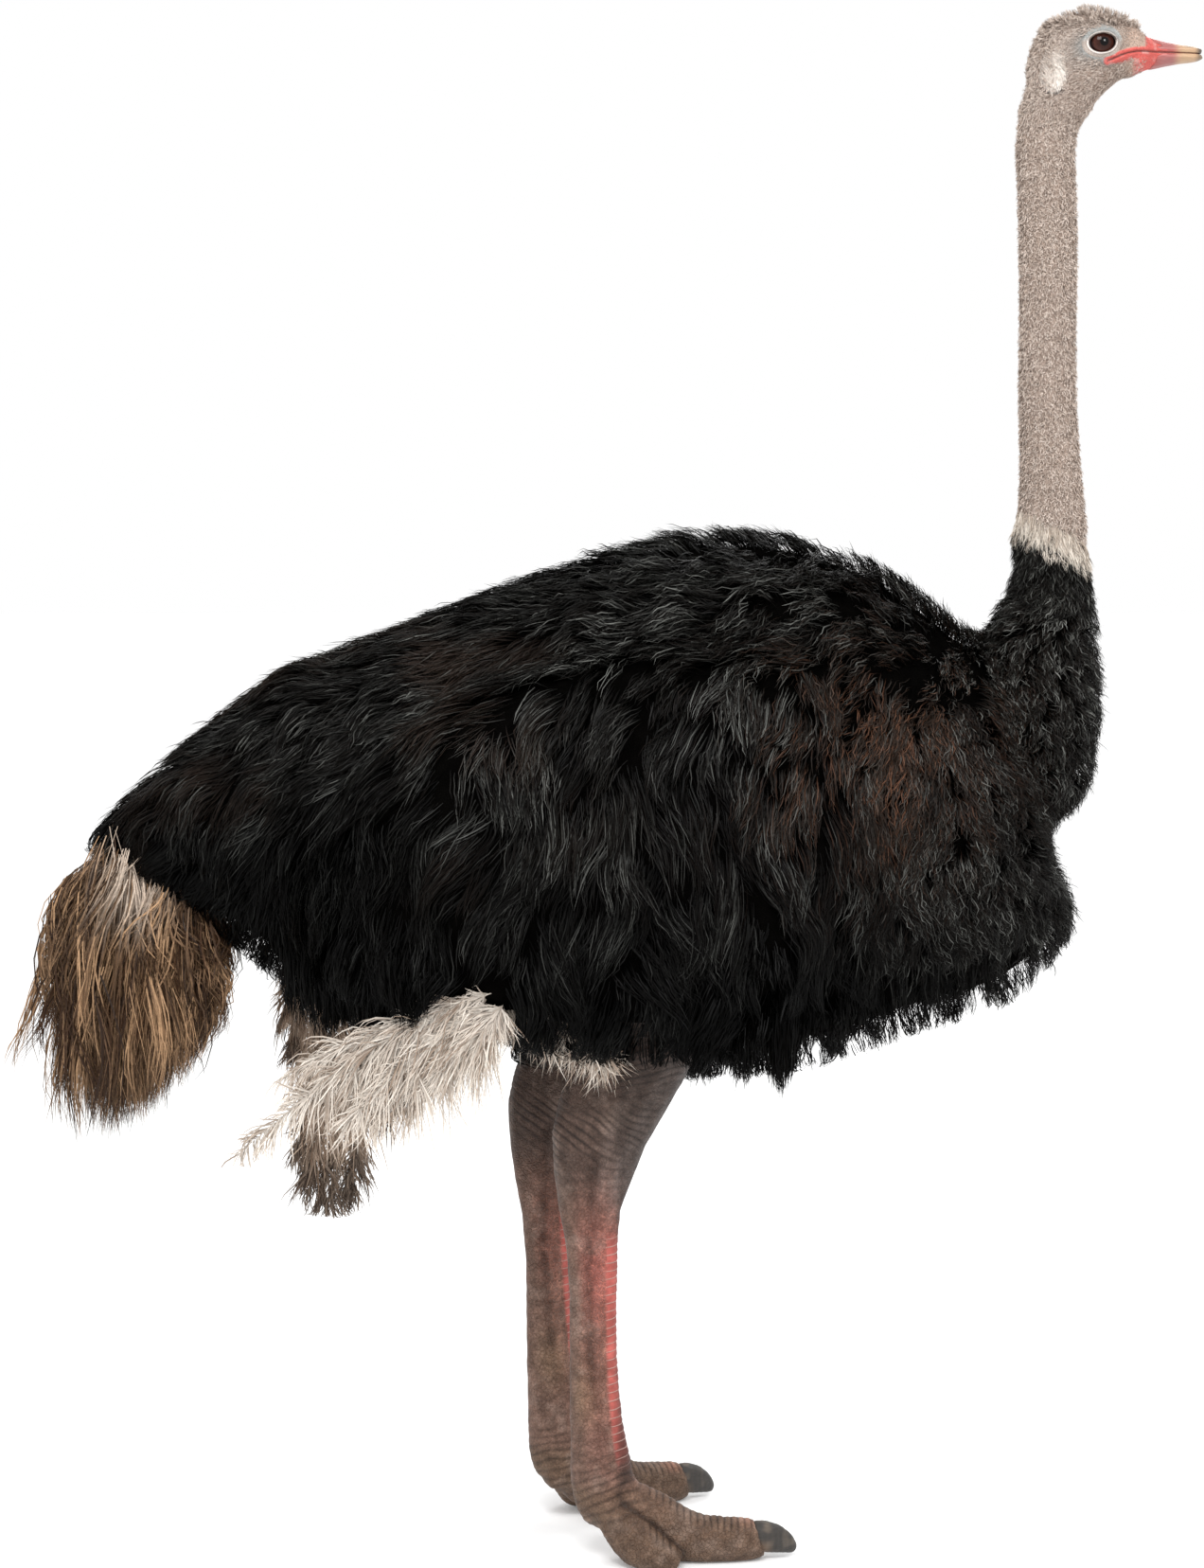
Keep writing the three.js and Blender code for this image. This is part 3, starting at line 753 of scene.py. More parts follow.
body_hide = hide_material("body_hide", 0.7, 300, (0.6, 0.6, 0.6, 1), 0.9, 0.0)
neck_hide = hide_material("neck_hide", 0.78, 420, (0.7, 0.66, 0.62, 1), 0.65, 0.25)
leg_hide = scaly_material("leg_hide")

# the body hide, and the neck hide below the collar, are painted near black as shade under the black coat
body_tint = np.tile(SHADE_UNDER_COAT, (len(body_points), 1))
neck_tint = tinted(NECK_HIDE, (SHADE_UNDER_COAT, ramp(neck_points[:, 2], 1.43, 1.38)))
hx, _, hz = head_points.T
eye_span = np.hypot((hx - eye_x) / 1.15, hz - eye_z)
mouth_gap = beside_line(hx, hz, mouth_line)
mouth_level = np.interp(hx, *np.array(mouth_line).T)
jaw = ramp(hz - mouth_level, 0.0, -0.003)
lip = 0.0056 + 0.0046 * jaw * ramp(hx, gape[0] + 0.003, gape[0] + 0.024)
red_face = np.maximum.reduce([
    ramp(mouth_gap, lip + 0.0014, lip - 0.0014),
    jaw * ramp(hx + 0.4 * (hz - mouth_level), eye_x + 0.035, eye_x + 0.046),
    (1 - jaw) * ramp(hx - bill_root[0] - 0.1 * (hz - bill_root[1]), -0.0100, -0.0065),
])
head_tint = tinted(
    NECK_HIDE,
    (FACE_HIDE, ramp(hx, eye_x + 0.026, eye_x + 0.042)),
    (FACE_HIDE, 0.6 * bump(np.hypot(hx - eye_x + 0.005, hz - eye_z + 0.04), 0.022)),
    (SOCKET_BLUE, 0.9 * ramp(eye_span, 0.040, 0.025) * ramp(hx, eye_x + 0.026, eye_x + 0.008)),
    (EAR_PALE, ramp(np.hypot((hx - ear_x) / 0.6, hz - ear_z), 0.028, 0.020)),
    # painted shade in the ear's crease
    (EAR_CREASE_SHADE, 0.9 * bump(beside_line(hx, hz, ear_front), 0.0040)),
    (EAR_CREASE_SHADE, 0.9 * bump(beside_line(hx, hz, ear_under), 0.0055)),
    (GAPE_RED, red_face),
    (LID_RIM, 0.35 * red_face * ramp(ripple(head_points, 0.006, 71), 0.1, 0.9)),
    # painted shade in the cut of the mouth
    (LID_AND_MOUTH_SHADE, 0.8 * bump(mouth_gap, 0.0011)),
)
skin_pieces = [
    (body_points, body_quads, body_tint, 0),
    (neck_points, neck_quads, neck_tint, 1),
    (head_points, head_quads, head_tint, 1),
]
for points, quads in lids.values():
    row = np.repeat([scale for scale, _ in LID_ROWS], LID_TURNS)
    above = ramp(points[:, 2] - eye_z, -0.002, 0.008)
    rim_tint = tinted(
        SOCKET_BLUE,
        (FACE_HIDE, 0.5 * (1 - above)),
        (LID_RIM, ramp(row, 1.15, 1.11)),
        (SOCKET_BLUE, 0.5 * ramp(row, 1.15, 1.11) * above),
        # painted shade where the lid tucks in against the eye and in the crease above the rim
        (LID_AND_MOUTH_SHADE, np.maximum(ramp(row, 1.0, 0.98), 0.6 * bump(row - 1.16, 0.02))),
    )
    skin_pieces.append((points, quads, rim_tint, 1))
for points, quads, masks in legs.values():
    leg_tint = tinted(
        LEG_HIDE,
        (HOCK_HIDE, masks["hock"]),
        (FOOT_HIDE, masks["foot"]),
        (SLATE_GREY, 0.85 * masks["slate"]),
        (OCHRE, 0.35 * masks["ochre"]),
        (FLUSH_PINK, 0.85 * masks["flush"]),
        (SEAM_PALE, 0.22 * masks["bloom"]),
        (PLATE_RED, masks["plates"]),
        (TIP_SALMON, masks["tip"]),
        # painted shade in the tendon groove and the toe cleft
        (LEG_CREASE_SHADE, 0.8 * masks["shade"]),
    )
    skin_pieces.append((points, quads, leg_tint, 2))

counts = np.cumsum([0] + [len(piece[0]) for piece in skin_pieces])
skin = mesh_object(
    "skin",
    np.concatenate([piece[0] for piece in skin_pieces]),
    np.concatenate([piece[1] + start for piece, start in zip(skin_pieces, counts)]),
)
for material in (body_hide, neck_hide, leg_hide):
    skin.data.materials.append(material)
slots = np.concatenate([np.full(len(piece[1]), piece[3], np.int32) for piece in skin_pieces])
skin.data.polygons.foreach_set("material_index", slots)
tint_points(skin, np.concatenate([piece[2] for piece in skin_pieces]))
bare_count = counts[-1] - sum(len(points) for points, _, _ in legs.values())
for name in ("plates", "plate_phase", "folds", "fold_phase", "net"):
    values = np.concatenate([np.zeros(bare_count), *(masks[name] for _, _, masks in legs.values())])
    skin.data.attributes.new(name, "FLOAT", "POINT").data.foreach_set("value", values.astype(np.float32))
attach(skin, "root")
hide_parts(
    "trunk", *NECK_NODES, "head",
    *(f"{node}_{side}" for node in LEG_NODES for side in ("right", "left")),
)


# ---------------------------------------------------------------------------------------------
# Eyes: blown glass as a taxidermist sets them, with a wide brown iris, a round black pupil and
# a raised clear front, bedded in the sockets behind the lids.
EYE_RINGS = 40
EYE_TURNS = 64
PUPIL_EDGE = 0.27
IRIS_EDGE = 0.86
EYE_WRAP = 0.75
EYE_BALL = 0.985
DOME_RISE = 0.022
DOME_EDGE = 0.55

eye_glass, tree, shader = node_material("eye_glass")
shades = add_node(tree, "ValToRGB", {"Fac": stored(tree, "ring")})
stops = shades.color_ramp.elements
stops[0].position = PUPIL_EDGE - 0.02
stops[0].color = (0.0015, 0.0012, 0.0012, 1)
stops[1].position = IRIS_EDGE + 0.06
stops[1].color = (0.10, 0.085, 0.10, 1)
for position, colour in (
    (PUPIL_EDGE + 0.02, (0.030, 0.010, 0.007, 1)),
    (0.42, (0.034, 0.010, 0.007, 1)),
    (0.62, (0.060, 0.019, 0.013, 1)),
    (0.80, (0.018, 0.007, 0.006, 1)),
    (IRIS_EDGE, (0.012, 0.008, 0.008, 1)),
):
    stops.new(position).color = colour
colour = mix_colours(tree, grain(tree, 900, 3), shades.outputs["Color"], (0.6, 0.55, 0.5, 1), "MULTIPLY")
set_look(tree, shader, colour, 0.3, 0.0)
shader.inputs["Coat Weight"].default_value = 1.0
shader.inputs["Coat IOR"].default_value = 1.28
shader.inputs["Coat Roughness"].default_value = 0.01

for side, side_name in ((-1, "right"), (1, "left")):
    axis = np.array([0.10, side, 0.02])
    axis /= np.linalg.norm(axis)
    level = np.cross(axis, [0, 0, 1.0])
    level /= np.linalg.norm(level)
    upright = np.cross(level, axis)
    points = []
    rings = []
    for i in range(EYE_RINGS + 1):
        tilt = math.pi * i / EYE_RINGS * EYE_WRAP
        radius = eye_radius * (EYE_BALL + DOME_RISE * math.exp(-((tilt / DOME_EDGE) ** 2)))
        for j in range(EYE_TURNS):
            turn = 2 * math.pi * j / EYE_TURNS
            aside = math.sin(tilt) * (math.cos(turn) * level + math.sin(turn) * upright)
            points.append((math.cos(tilt) * axis + aside) * radius)
            rings.append(tilt)
    quads = ring_quads(1, EYE_RINGS, EYE_TURNS)
    j = np.arange(EYE_TURNS)
    front = np.stack([0 * j, EYE_TURNS + j, EYE_TURNS + (j + 1) % EYE_TURNS], -1)
    last = EYE_RINGS * EYE_TURNS
    rear = np.stack([last + 0 * j[1:-1], last + j[2:], last + j[1:-1]], -1)
    centre = np.array([eye_x, side * eye_y, eye_z])
    eye = mesh_object(f"eye_glass_{side_name}", np.array(points) + centre, [quads, front, rear])
    eye.data.attributes.new("ring", "FLOAT", "POINT").data.foreach_set("value", np.array(rings, np.float32))
    eye.data.materials.append(eye_glass)
    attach(eye, "root")
    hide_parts(f"eye_{side_name}")


# ---------------------------------------------------------------------------------------------
# The bill: two flat horny sheaths, salmon red at the sides, yellow horn towards the end and
# dark on the nail. The upper one has a long nostril in a groove and overhangs at the tip.
BILL_CELL = 0.0012
BILL_SWELL = 0.0008
TIP_SWELL = 0.0012
NOSTRIL_DEPTH = 0.0022
GROOVE_DEPTH = 0.0006
BILL_RED = (0.325, 0.068, 0.060)
BILL_PINK = (0.300, 0.112, 0.106)
BILL_HORN = (0.440, 0.285, 0.170)
NAIL_GREY_AND_SLIT_SHADE = (0.085, 0.064, 0.048)


def worn_solid(name, cell, rounds, margin=0.006):
    """The form of one CAD solid with its facets worn smooth."""
    low, high = node_span((name,), margin)
    form = Form(low, high, cell)
    form.distance = form.node(name, margin * 1.5)
    return form.soften(rounds)


def horn_material(name, roughness, specular, streak_scale, depth):
    """Horn: the tint of the place, with fine growth lines and a satin skin."""
    material, tree, shader = node_material(name)
    tint = stored(tree, "tint", "Color")
    place = add_node(tree, "TexCoord").outputs["Object"]
    stretch = add_node(tree, "Mapping", {"Vector": place, "Scale": (0.25, 1.0, 1.6)})
    lines = add_node(tree, "TexNoise", {
        "Vector": stretch.outputs["Vector"], "Scale": streak_scale, "Detail": 4.0,
    })
    shade = mix_colours(tree, lines.outputs["Fac"], (0.70, 0.68, 0.66, 1), (1.15, 1.15, 1.15, 1))
    set_look(tree, shader, mix_colours(tree, 1.0, tint, shade, "MULTIPLY"), roughness, specular)
    add_bump(tree, shader, lines.outputs["Fac"], depth)
    return material


bill_horn = horn_material("bill_horn", 0.38, 0.5, 420, 0.00035)
nostril = np.array([bill_root[0] + 0.010, bill_root[1] + 0.0105])
nostril_slot = [nostril - (0.004, -0.0006), nostril + (0.006, -0.0012)]
for node in ("bill_upper", "bill_lower"):
    form = worn_solid(node, BILL_CELL, 4)
    x, y, z = form.axes()
    away = np.abs(z - bill_tip[1])
    swell = BILL_SWELL + TIP_SWELL * ramp(x, bill_root[0], bill_tip[0])
    form.distance = sunk(form.distance, -ramp(away, 0.002, 0.006) * swell)
    if node == "bill_upper":
        slot_line = beside_line(x, z, nostril_slot)
        groove = beside_line(x, z, [nostril, nostril + (0.030, -0.004)])
        slot = NOSTRIL_DEPTH * bump(slot_line, 0.0014) * ramp(np.abs(y), 0.003, 0.006)
        form.distance = sunk(form.distance, slot)
        groove = GROOVE_DEPTH * bump(groove, 0.0018) * ramp(np.abs(y), 0.004, 0.008)
        form.distance = sunk(form.distance, groove)
    points, quads = form.surface()
    sheath = mesh_object(node.replace("bill", "bill_sheath"), points, quads)
    px, py, pz = points.T
    edge = ramp(np.abs(pz - bill_tip[1]), 0.007, 0.002)
    end = ramp(px, bill_tip[0] - 0.046, bill_tip[0] - 0.028)
    tip = ramp(px, bill_tip[0] - 0.014, bill_tip[0] - 0.004) * (1.0 if node == "bill_upper" else 0.7)
    ridge = ramp(px, bill_tip[0] - 0.034, bill_tip[0] - 0.020) * ramp(pz - bill_tip[1], 0.005, 0.009)
    tip = np.maximum(tip, 0.5 * ridge)
    colours = tinted(
        BILL_RED,
        (BILL_PINK, 0.8 * (1 - edge) * ramp(px, bill_root[0] + 0.004, bill_root[0] + 0.022)),
        # painted shade in the nostril slot
        (NAIL_GREY_AND_SLIT_SHADE, 0.8 * (node == "bill_upper") * bump(beside_line(px, pz, nostril_slot), 0.0016)),
        (BILL_HORN, end),
        (NAIL_GREY_AND_SLIT_SHADE, tip),
        # painted shade along the line where the two sheaths meet
        (NAIL_GREY_AND_SLIT_SHADE, 0.5 * bump(pz - bill_tip[1], 0.0008)),
    )
    tint_points(sheath, colours)
    sheath.data.materials.append(bill_horn)
    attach(sheath, "root")
    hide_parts(node)


# ---------------------------------------------------------------------------------------------
# Claws: the one broad, blunt nail of each big toe, dull grey-black horn with growth ridges and
# a worn, paler end.
CLAW_CELL = 0.0018
CLAW_SWELL = 0.0008
CLAW_RIDGES = 9
RIDGE_RISE = 0.00012
CLAW_DARK = (0.046, 0.042, 0.039)
CLAW_WORN = (0.150, 0.125, 0.100)
CLAW_ROOT = (0.240, 0.160, 0.110)

claw_horn = horn_material("claw_horn", 0.45, 0.2, 260, 0.0009)
for side_name in ("right", "left"):
    form = worn_solid(f"claw_{side_name}", CLAW_CELL, 6)
    form.distance = sunk(form.distance, -CLAW_SWELL)
    points, quads = form.surface()
    low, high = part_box(f"claw_{side_name}")
    run = (points[:, 0] - low.x) / (high.x - low.x)
    ridges = np.sin(run * 2 * math.pi * CLAW_RIDGES + 2 * ripple(points, 0.01, 31))
    points = points + form.normal(points) * (RIDGE_RISE * ridges)[:, None]
    points[:, 2] = np.maximum(points[:, 2], low.z)
    nail = mesh_object(f"claw_nail_{side_name}", points, quads)
    blotch = ramp(ripple(points, 0.012, 33), 0.0, 0.8)
    low_side = ramp(points[:, 2], low.z + 0.030, low.z + 0.012)
    tint_points(nail, tinted(
        CLAW_DARK,
        (CLAW_ROOT, 0.9 * ramp(run, 0.55, 0.15) * low_side + 0.5 * blotch * ramp(run, 0.6, 0.0)),
        (CLAW_WORN, 0.4 * blotch + 0.06 * ridges),
    ))
    nail.data.materials.append(claw_horn)
    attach(nail, "root")
    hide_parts(f"claw_{side_name}")


# ---------------------------------------------------------------------------------------------
# Body plumage: thousands of soft black barbs with no hooks, so each hangs as a loose, slightly
# curled strand, and strands gather in locks. They root on the hide and end near the outline.

# each row of LIE: at x, z on the side of the bird the coat runs towards dx, dz, with this length
# and tip lift in millimetres, and this much curl
LIE = [
    (-0.68, 1.02, -0.50, -0.87, 60, 2, 0.25),
    (-0.57, 1.12, -0.80, -0.60, 56, 2, 0.20),
    (-0.60, 1.00, -0.40, -0.90, 62, 3, 0.30),
    (-0.44, 1.22, -0.95, -0.30, 52, 2, 0.15),
    (-0.28, 1.28, -0.97, -0.25, 50, 2, 0.15),
    (-0.09, 1.36, -0.95, -0.30, 50, 3, 0.20),
    (0.01, 1.40, -0.90, -0.35, 55, 9, 0.50),
    (0.15, 1.43, -1.00, -0.05, 50, 12, 0.60),
    (0.29, 1.43, -1.00, 0.10, 45, 10, 0.60),
    (0.42, 1.37, -0.80, 0.35, 40, 10, 0.60),
    (0.54, 1.32, -0.50, -0.20, 32, 7, 0.50),
    (0.62, 1.25, -0.10, -1.00, 28, 5, 0.50),
    (0.69, 1.14, 0.00, -1.00, 28, 6, 0.60),
    (0.65, 1.05, -0.15, -1.00, 32, 8, 0.70),
    (0.38, 1.16, -0.50, -0.85, 42, 2, 0.30),
    (0.30, 1.26, -0.45, -0.90, 55, 6, 0.30),
    (0.19, 1.28, -0.75, -0.65, 60, 8, 0.35),
    (0.09, 1.33, -0.90, -0.45, 56, 10, 0.40),
    (0.09, 1.13, -0.15, -1.00, 82, 8, 0.30),
    (-0.04, 1.13, -0.30, -0.95, 82, 8, 0.30),
    (-0.16, 1.07, -0.38, -0.92, 82, 9, 0.35),
    (-0.23, 1.21, -0.80, -0.60, 62, 7, 0.30),
    (0.03, 0.88, 0.08, -1.00, 76, 9, 0.45),
    (0.15, 0.81, 0.12, -1.00, 72, 9, 0.50),
    (0.29, 0.94, 0.10, -1.00, 76, 7, 0.35),
    (0.48, 0.86, 0.12, -1.00, 40, 8, 0.70),
    (0.64, 0.92, 0.10, -1.00, 34, 8, 0.70),
    (-0.36, 1.06, -0.35, -0.93, 72, 7, 0.35),
    (-0.50, 0.99, -0.25, -0.97, 66, 5, 0.40),
    (-0.30, 0.94, -0.20, -0.98, 76, 9, 0.50),
    (-0.39, 0.87, -0.30, -0.95, 76, 9, 0.50),
]
LIE_SPREAD = 0.085
COAT_BLACK = (0.0022, 0.0022, 0.0020)
# painted highlight: the grey of the strands that stand for glints of light on the black coat
COAT_GLINT_GREY = (0.150, 0.153, 0.141)
COAT_BROWN = (0.034, 0.021, 0.015)
COAT_RUST = (0.150, 0.066, 0.036)
GUIDE_POINTS = 9
LOCK_SWIRL = 0.048
BARB_PATCH = 0.003
BARB_WIDTH = 0.0016
BARB_FORM = np.array([0.55, 1.0, 0.95, 0.7, 0.0])
SPINE_Z = 1.06
SHOULDER_X = 0.38
SHOULDER_Z = 1.13
SHOULDER_SIZE = 0.13
PLUMES_TOP = 0.831
PLUMES_FRONT = -0.113
PLUMES_REAR = -0.136

lie_table = np.array(LIE)


def lie_at(p):
    """Direction, length, lift and curl of the coat at each point."""
    dx = p[:, None, 0] - lie_table[:, 0]
    dz = p[:, None, 2] - lie_table[:, 1]
    weight = np.exp(-(dx**2 + dz**2) / (2 * LIE_SPREAD**2)) + 1e-9
    weight /= weight.sum(1, keepdims=True)
    mixed = weight @ lie_table[:, 2:]
    way = np.stack([mixed[:, 0], 0 * mixed[:, 0], mixed[:, 1]], -1)
    return unit(way), mixed[:, 2] / 1000, mixed[:, 3] / 1000, mixed[:, 4]


def unit(v):
    """Vectors brought to length 1."""
    return v / np.maximum(np.linalg.norm(v, axis=-1, keepdims=True), 1e-9)


def scattered_roots(points, quads, count, rng):
    """Places spread evenly over a surface of four-sided faces."""
    a, b, c, d = (points[quads[:, i]] for i in range(4))
    area = np.linalg.norm(np.cross(c - a, d - b), axis=1) / 2
    pick = rng.choice(len(quads), count, p=area / area.sum())
    u, v = rng.random((2, count, 1))
    return (a[pick] * (1 - u) + b[pick] * u) * (1 - v) + (d[pick] * (1 - u) + c[pick] * u) * v


def lock_guides(form, roots, reach, top, lift, sway, rng):
    """The middle line of each lock: from the hide out to its own height in the coat, then along
    the lie of the coat. Under the belly it hangs free."""
    start = form.height(roots)
    paths = [roots]
    p = roots
    for k in range(1, GUIDE_POINTS):
        t = k / (GUIDE_POINTS - 1)
        n = form.normal(p)
        way = lie_at(p)[0]
        swirl = ripple(p, LOCK_SWIRL, 41)[:, None] * np.cross(n, way)
        way = unit(way + sway + 0.60 * swirl)
        under = 0.85 * ramp(-n[:, 2:], 0.25, 0.75)
        way = unit(way - (1 - under) * (way * n).sum(1, keepdims=True) * n)
        p = p + way * (reach / (GUIDE_POINTS - 1))[:, None]
        rise = ramp(t, 0.0, 0.45)
        target = start * (1 - rise) + (top + lift * t * t) * rise
        height = form.height(p)
        cling = 1 - under[:, 0]
        move = cling * (target - height) - (1 - cling) * np.maximum(height - 0.004, 0)
        p = p + form.normal(p) * move[:, None]
        paths.append(p)
    return np.stack(paths, 1)


def along_guides(guides, which, u):
    """Points at the shares u of the chosen guides."""
    spot = np.clip(u, 0, 1) * (guides.shape[1] - 1)
    i = np.minimum(spot.astype(int), guides.shape[1] - 2)
    f = (spot - i)[..., None]
    rows = which[:, None]
    return guides[rows, i] * (1 - f) + guides[rows, i + 1] * f


def curl_of(count, steps, length, amount, rng, wave=(0.022, 0.045)):
    """A growing coil for each strand, as offsets to the side and outwards."""
    size = rng.uniform(*wave, count)[:, None]
    phase = rng.uniform(0, 2 * math.pi, count)[:, None]
    s = np.linspace(0, 1, steps)[None, :]
    turn = phase + 2 * math.pi * s * length[:, None] / size
    growth = amount[:, None] * s
    return growth * (np.sin(turn) - np.sin(phase)), growth * (np.cos(turn) - np.cos(phase))


def barb_mesh(name, paths, flat, widths, tints, unwrap, material):
    """Joined strands, each a thin tapering blade along its path. flat gives the way each blade
    is broad, tints its colours from root to tip, and unwrap its root's place on the spread hide."""
    count, steps = paths.shape[:2]
    half = flat * widths[..., None] / 2
    left = paths - half
    right = paths[:, :-1] + half[:, :-1]
    points = np.concatenate([left, right], axis=1)
    per = 2 * steps - 1
    base = np.arange(count)[:, None] * per
    i = np.arange(steps - 2)
    quads = np.stack([i, steps + i, steps + i + 1, i + 1], -1).reshape(1, -1) + base
    tips = base + np.array([[steps - 2, 2 * steps - 2, steps - 1]])
    item = mesh_object(name, points.reshape(-1, 3), [quads.reshape(-1, 4), tips.reshape(-1, 3)])
    tints = np.broadcast_to(tints, (count, steps, 3))
    tint_points(item, np.concatenate([tints, tints[:, :-1]], axis=1).reshape(-1, 3))
    s = np.linspace(0, BARB_PATCH, steps)
    patch = np.empty((count, per, 2), np.float32)
    patch[:, :steps, 0] = 0
    patch[:, steps:, 0] = BARB_PATCH
    patch[:, :steps, 1] = s
    patch[:, steps:, 1] = s[:-1]
    low, high = unwrap.min(0), unwrap.max(0)
    place = 0.004 + (unwrap - low) / np.maximum(high - low, 1e-6) * (0.992 - BARB_PATCH)
    patch += place[:, None, :].astype(np.float32)
    corners = np.empty(len(item.data.loops), np.int32)
    item.data.loops.foreach_get("vertex_index", corners)
    spread = item.data.uv_layers.new(name="OFBake")
    spread.data.foreach_set("uv", patch.reshape(-1, 2)[corners].ravel())
    item.data.materials.append(material)
    return item


def round_body(p):
    """A place on the hide of the body, cut along the belly and spread flat."""
    spine = SPINE_Z - 0.05 * p[:, 0]
    turn = np.arctan2(p[:, 1], p[:, 2] - spine) / (2 * math.pi)
    return np.stack([turn, p[:, 0]], -1)


def plume_material(name, roughness, specular, mottle):
    """Feather: its tint, a little darker in small patches."""
    material, tree, shader = node_material(name)
    tint = stored(tree, "tint", "Color")
    colour = mix_colours(tree, grain(tree, 260), tint, (mottle, mottle, mottle, 1), "MULTIPLY")
    set_look(tree, shader, colour, roughness, specular)
    return material


black_barbs = plume_material("black_barbs", 0.40, 0.06, 0.72)


def body_tints(roots, steps, tone, rng):
    """Black, with a few grey strands painted in as glints of light, going brown on the bare shoulder
    and in patches over the rump. Every strand is darker towards its root as painted shade.
    """
    count = len(roots)
    x, z = roots[:, 0], roots[:, 2]
    shoulder = bump(np.hypot((x - SHOULDER_X) / 1.1, z - SHOULDER_Z), SHOULDER_SIZE)
    shoulder = shoulder * ramp(ripple(roots, 0.05, 23), -1.2, 0.3)
    rump_patches = ramp(ripple(roots, 0.09, 21) + 0.4 * ripple(roots, 0.04, 22), 0.0, 0.7)
    rump_patches *= ramp(x, 0.10, -0.15) * ramp(z, 0.85, 1.05)
    brown = np.clip(0.9 * shoulder + 0.55 * rump_patches + 0.12 * rng.random(count), 0, 1)
    rust = shoulder * (rng.random(count) < 0.22)
    # the grey strands are painted highlights, glints of light put into the colour
    grey = np.clip(tone, 0, 1) ** 6 * (1 - 0.5 * brown)
    root_tint = tinted(COAT_BLACK, (COAT_BROWN, brown), (COAT_RUST, 0.8 * rust), (COAT_GLINT_GREY, grey))
    # painted shade: each strand darker at its root, deep in the coat, and lighter at its tip
    root_shade = np.linspace(0.45, 1.2, steps)[None, :, None]
    return root_tint[:, None, :] * root_shade


def tuft_centres(roots, size):
    """One root out of each cube of this size, to stand for the tuft round it."""
    cubes = np.floor(roots / size).astype(np.int64)
    keys = (cubes[:, 0] * 1000 + cubes[:, 1]) * 1000 + cubes[:, 2]
    return roots[np.unique(keys, return_index=True)[1]]


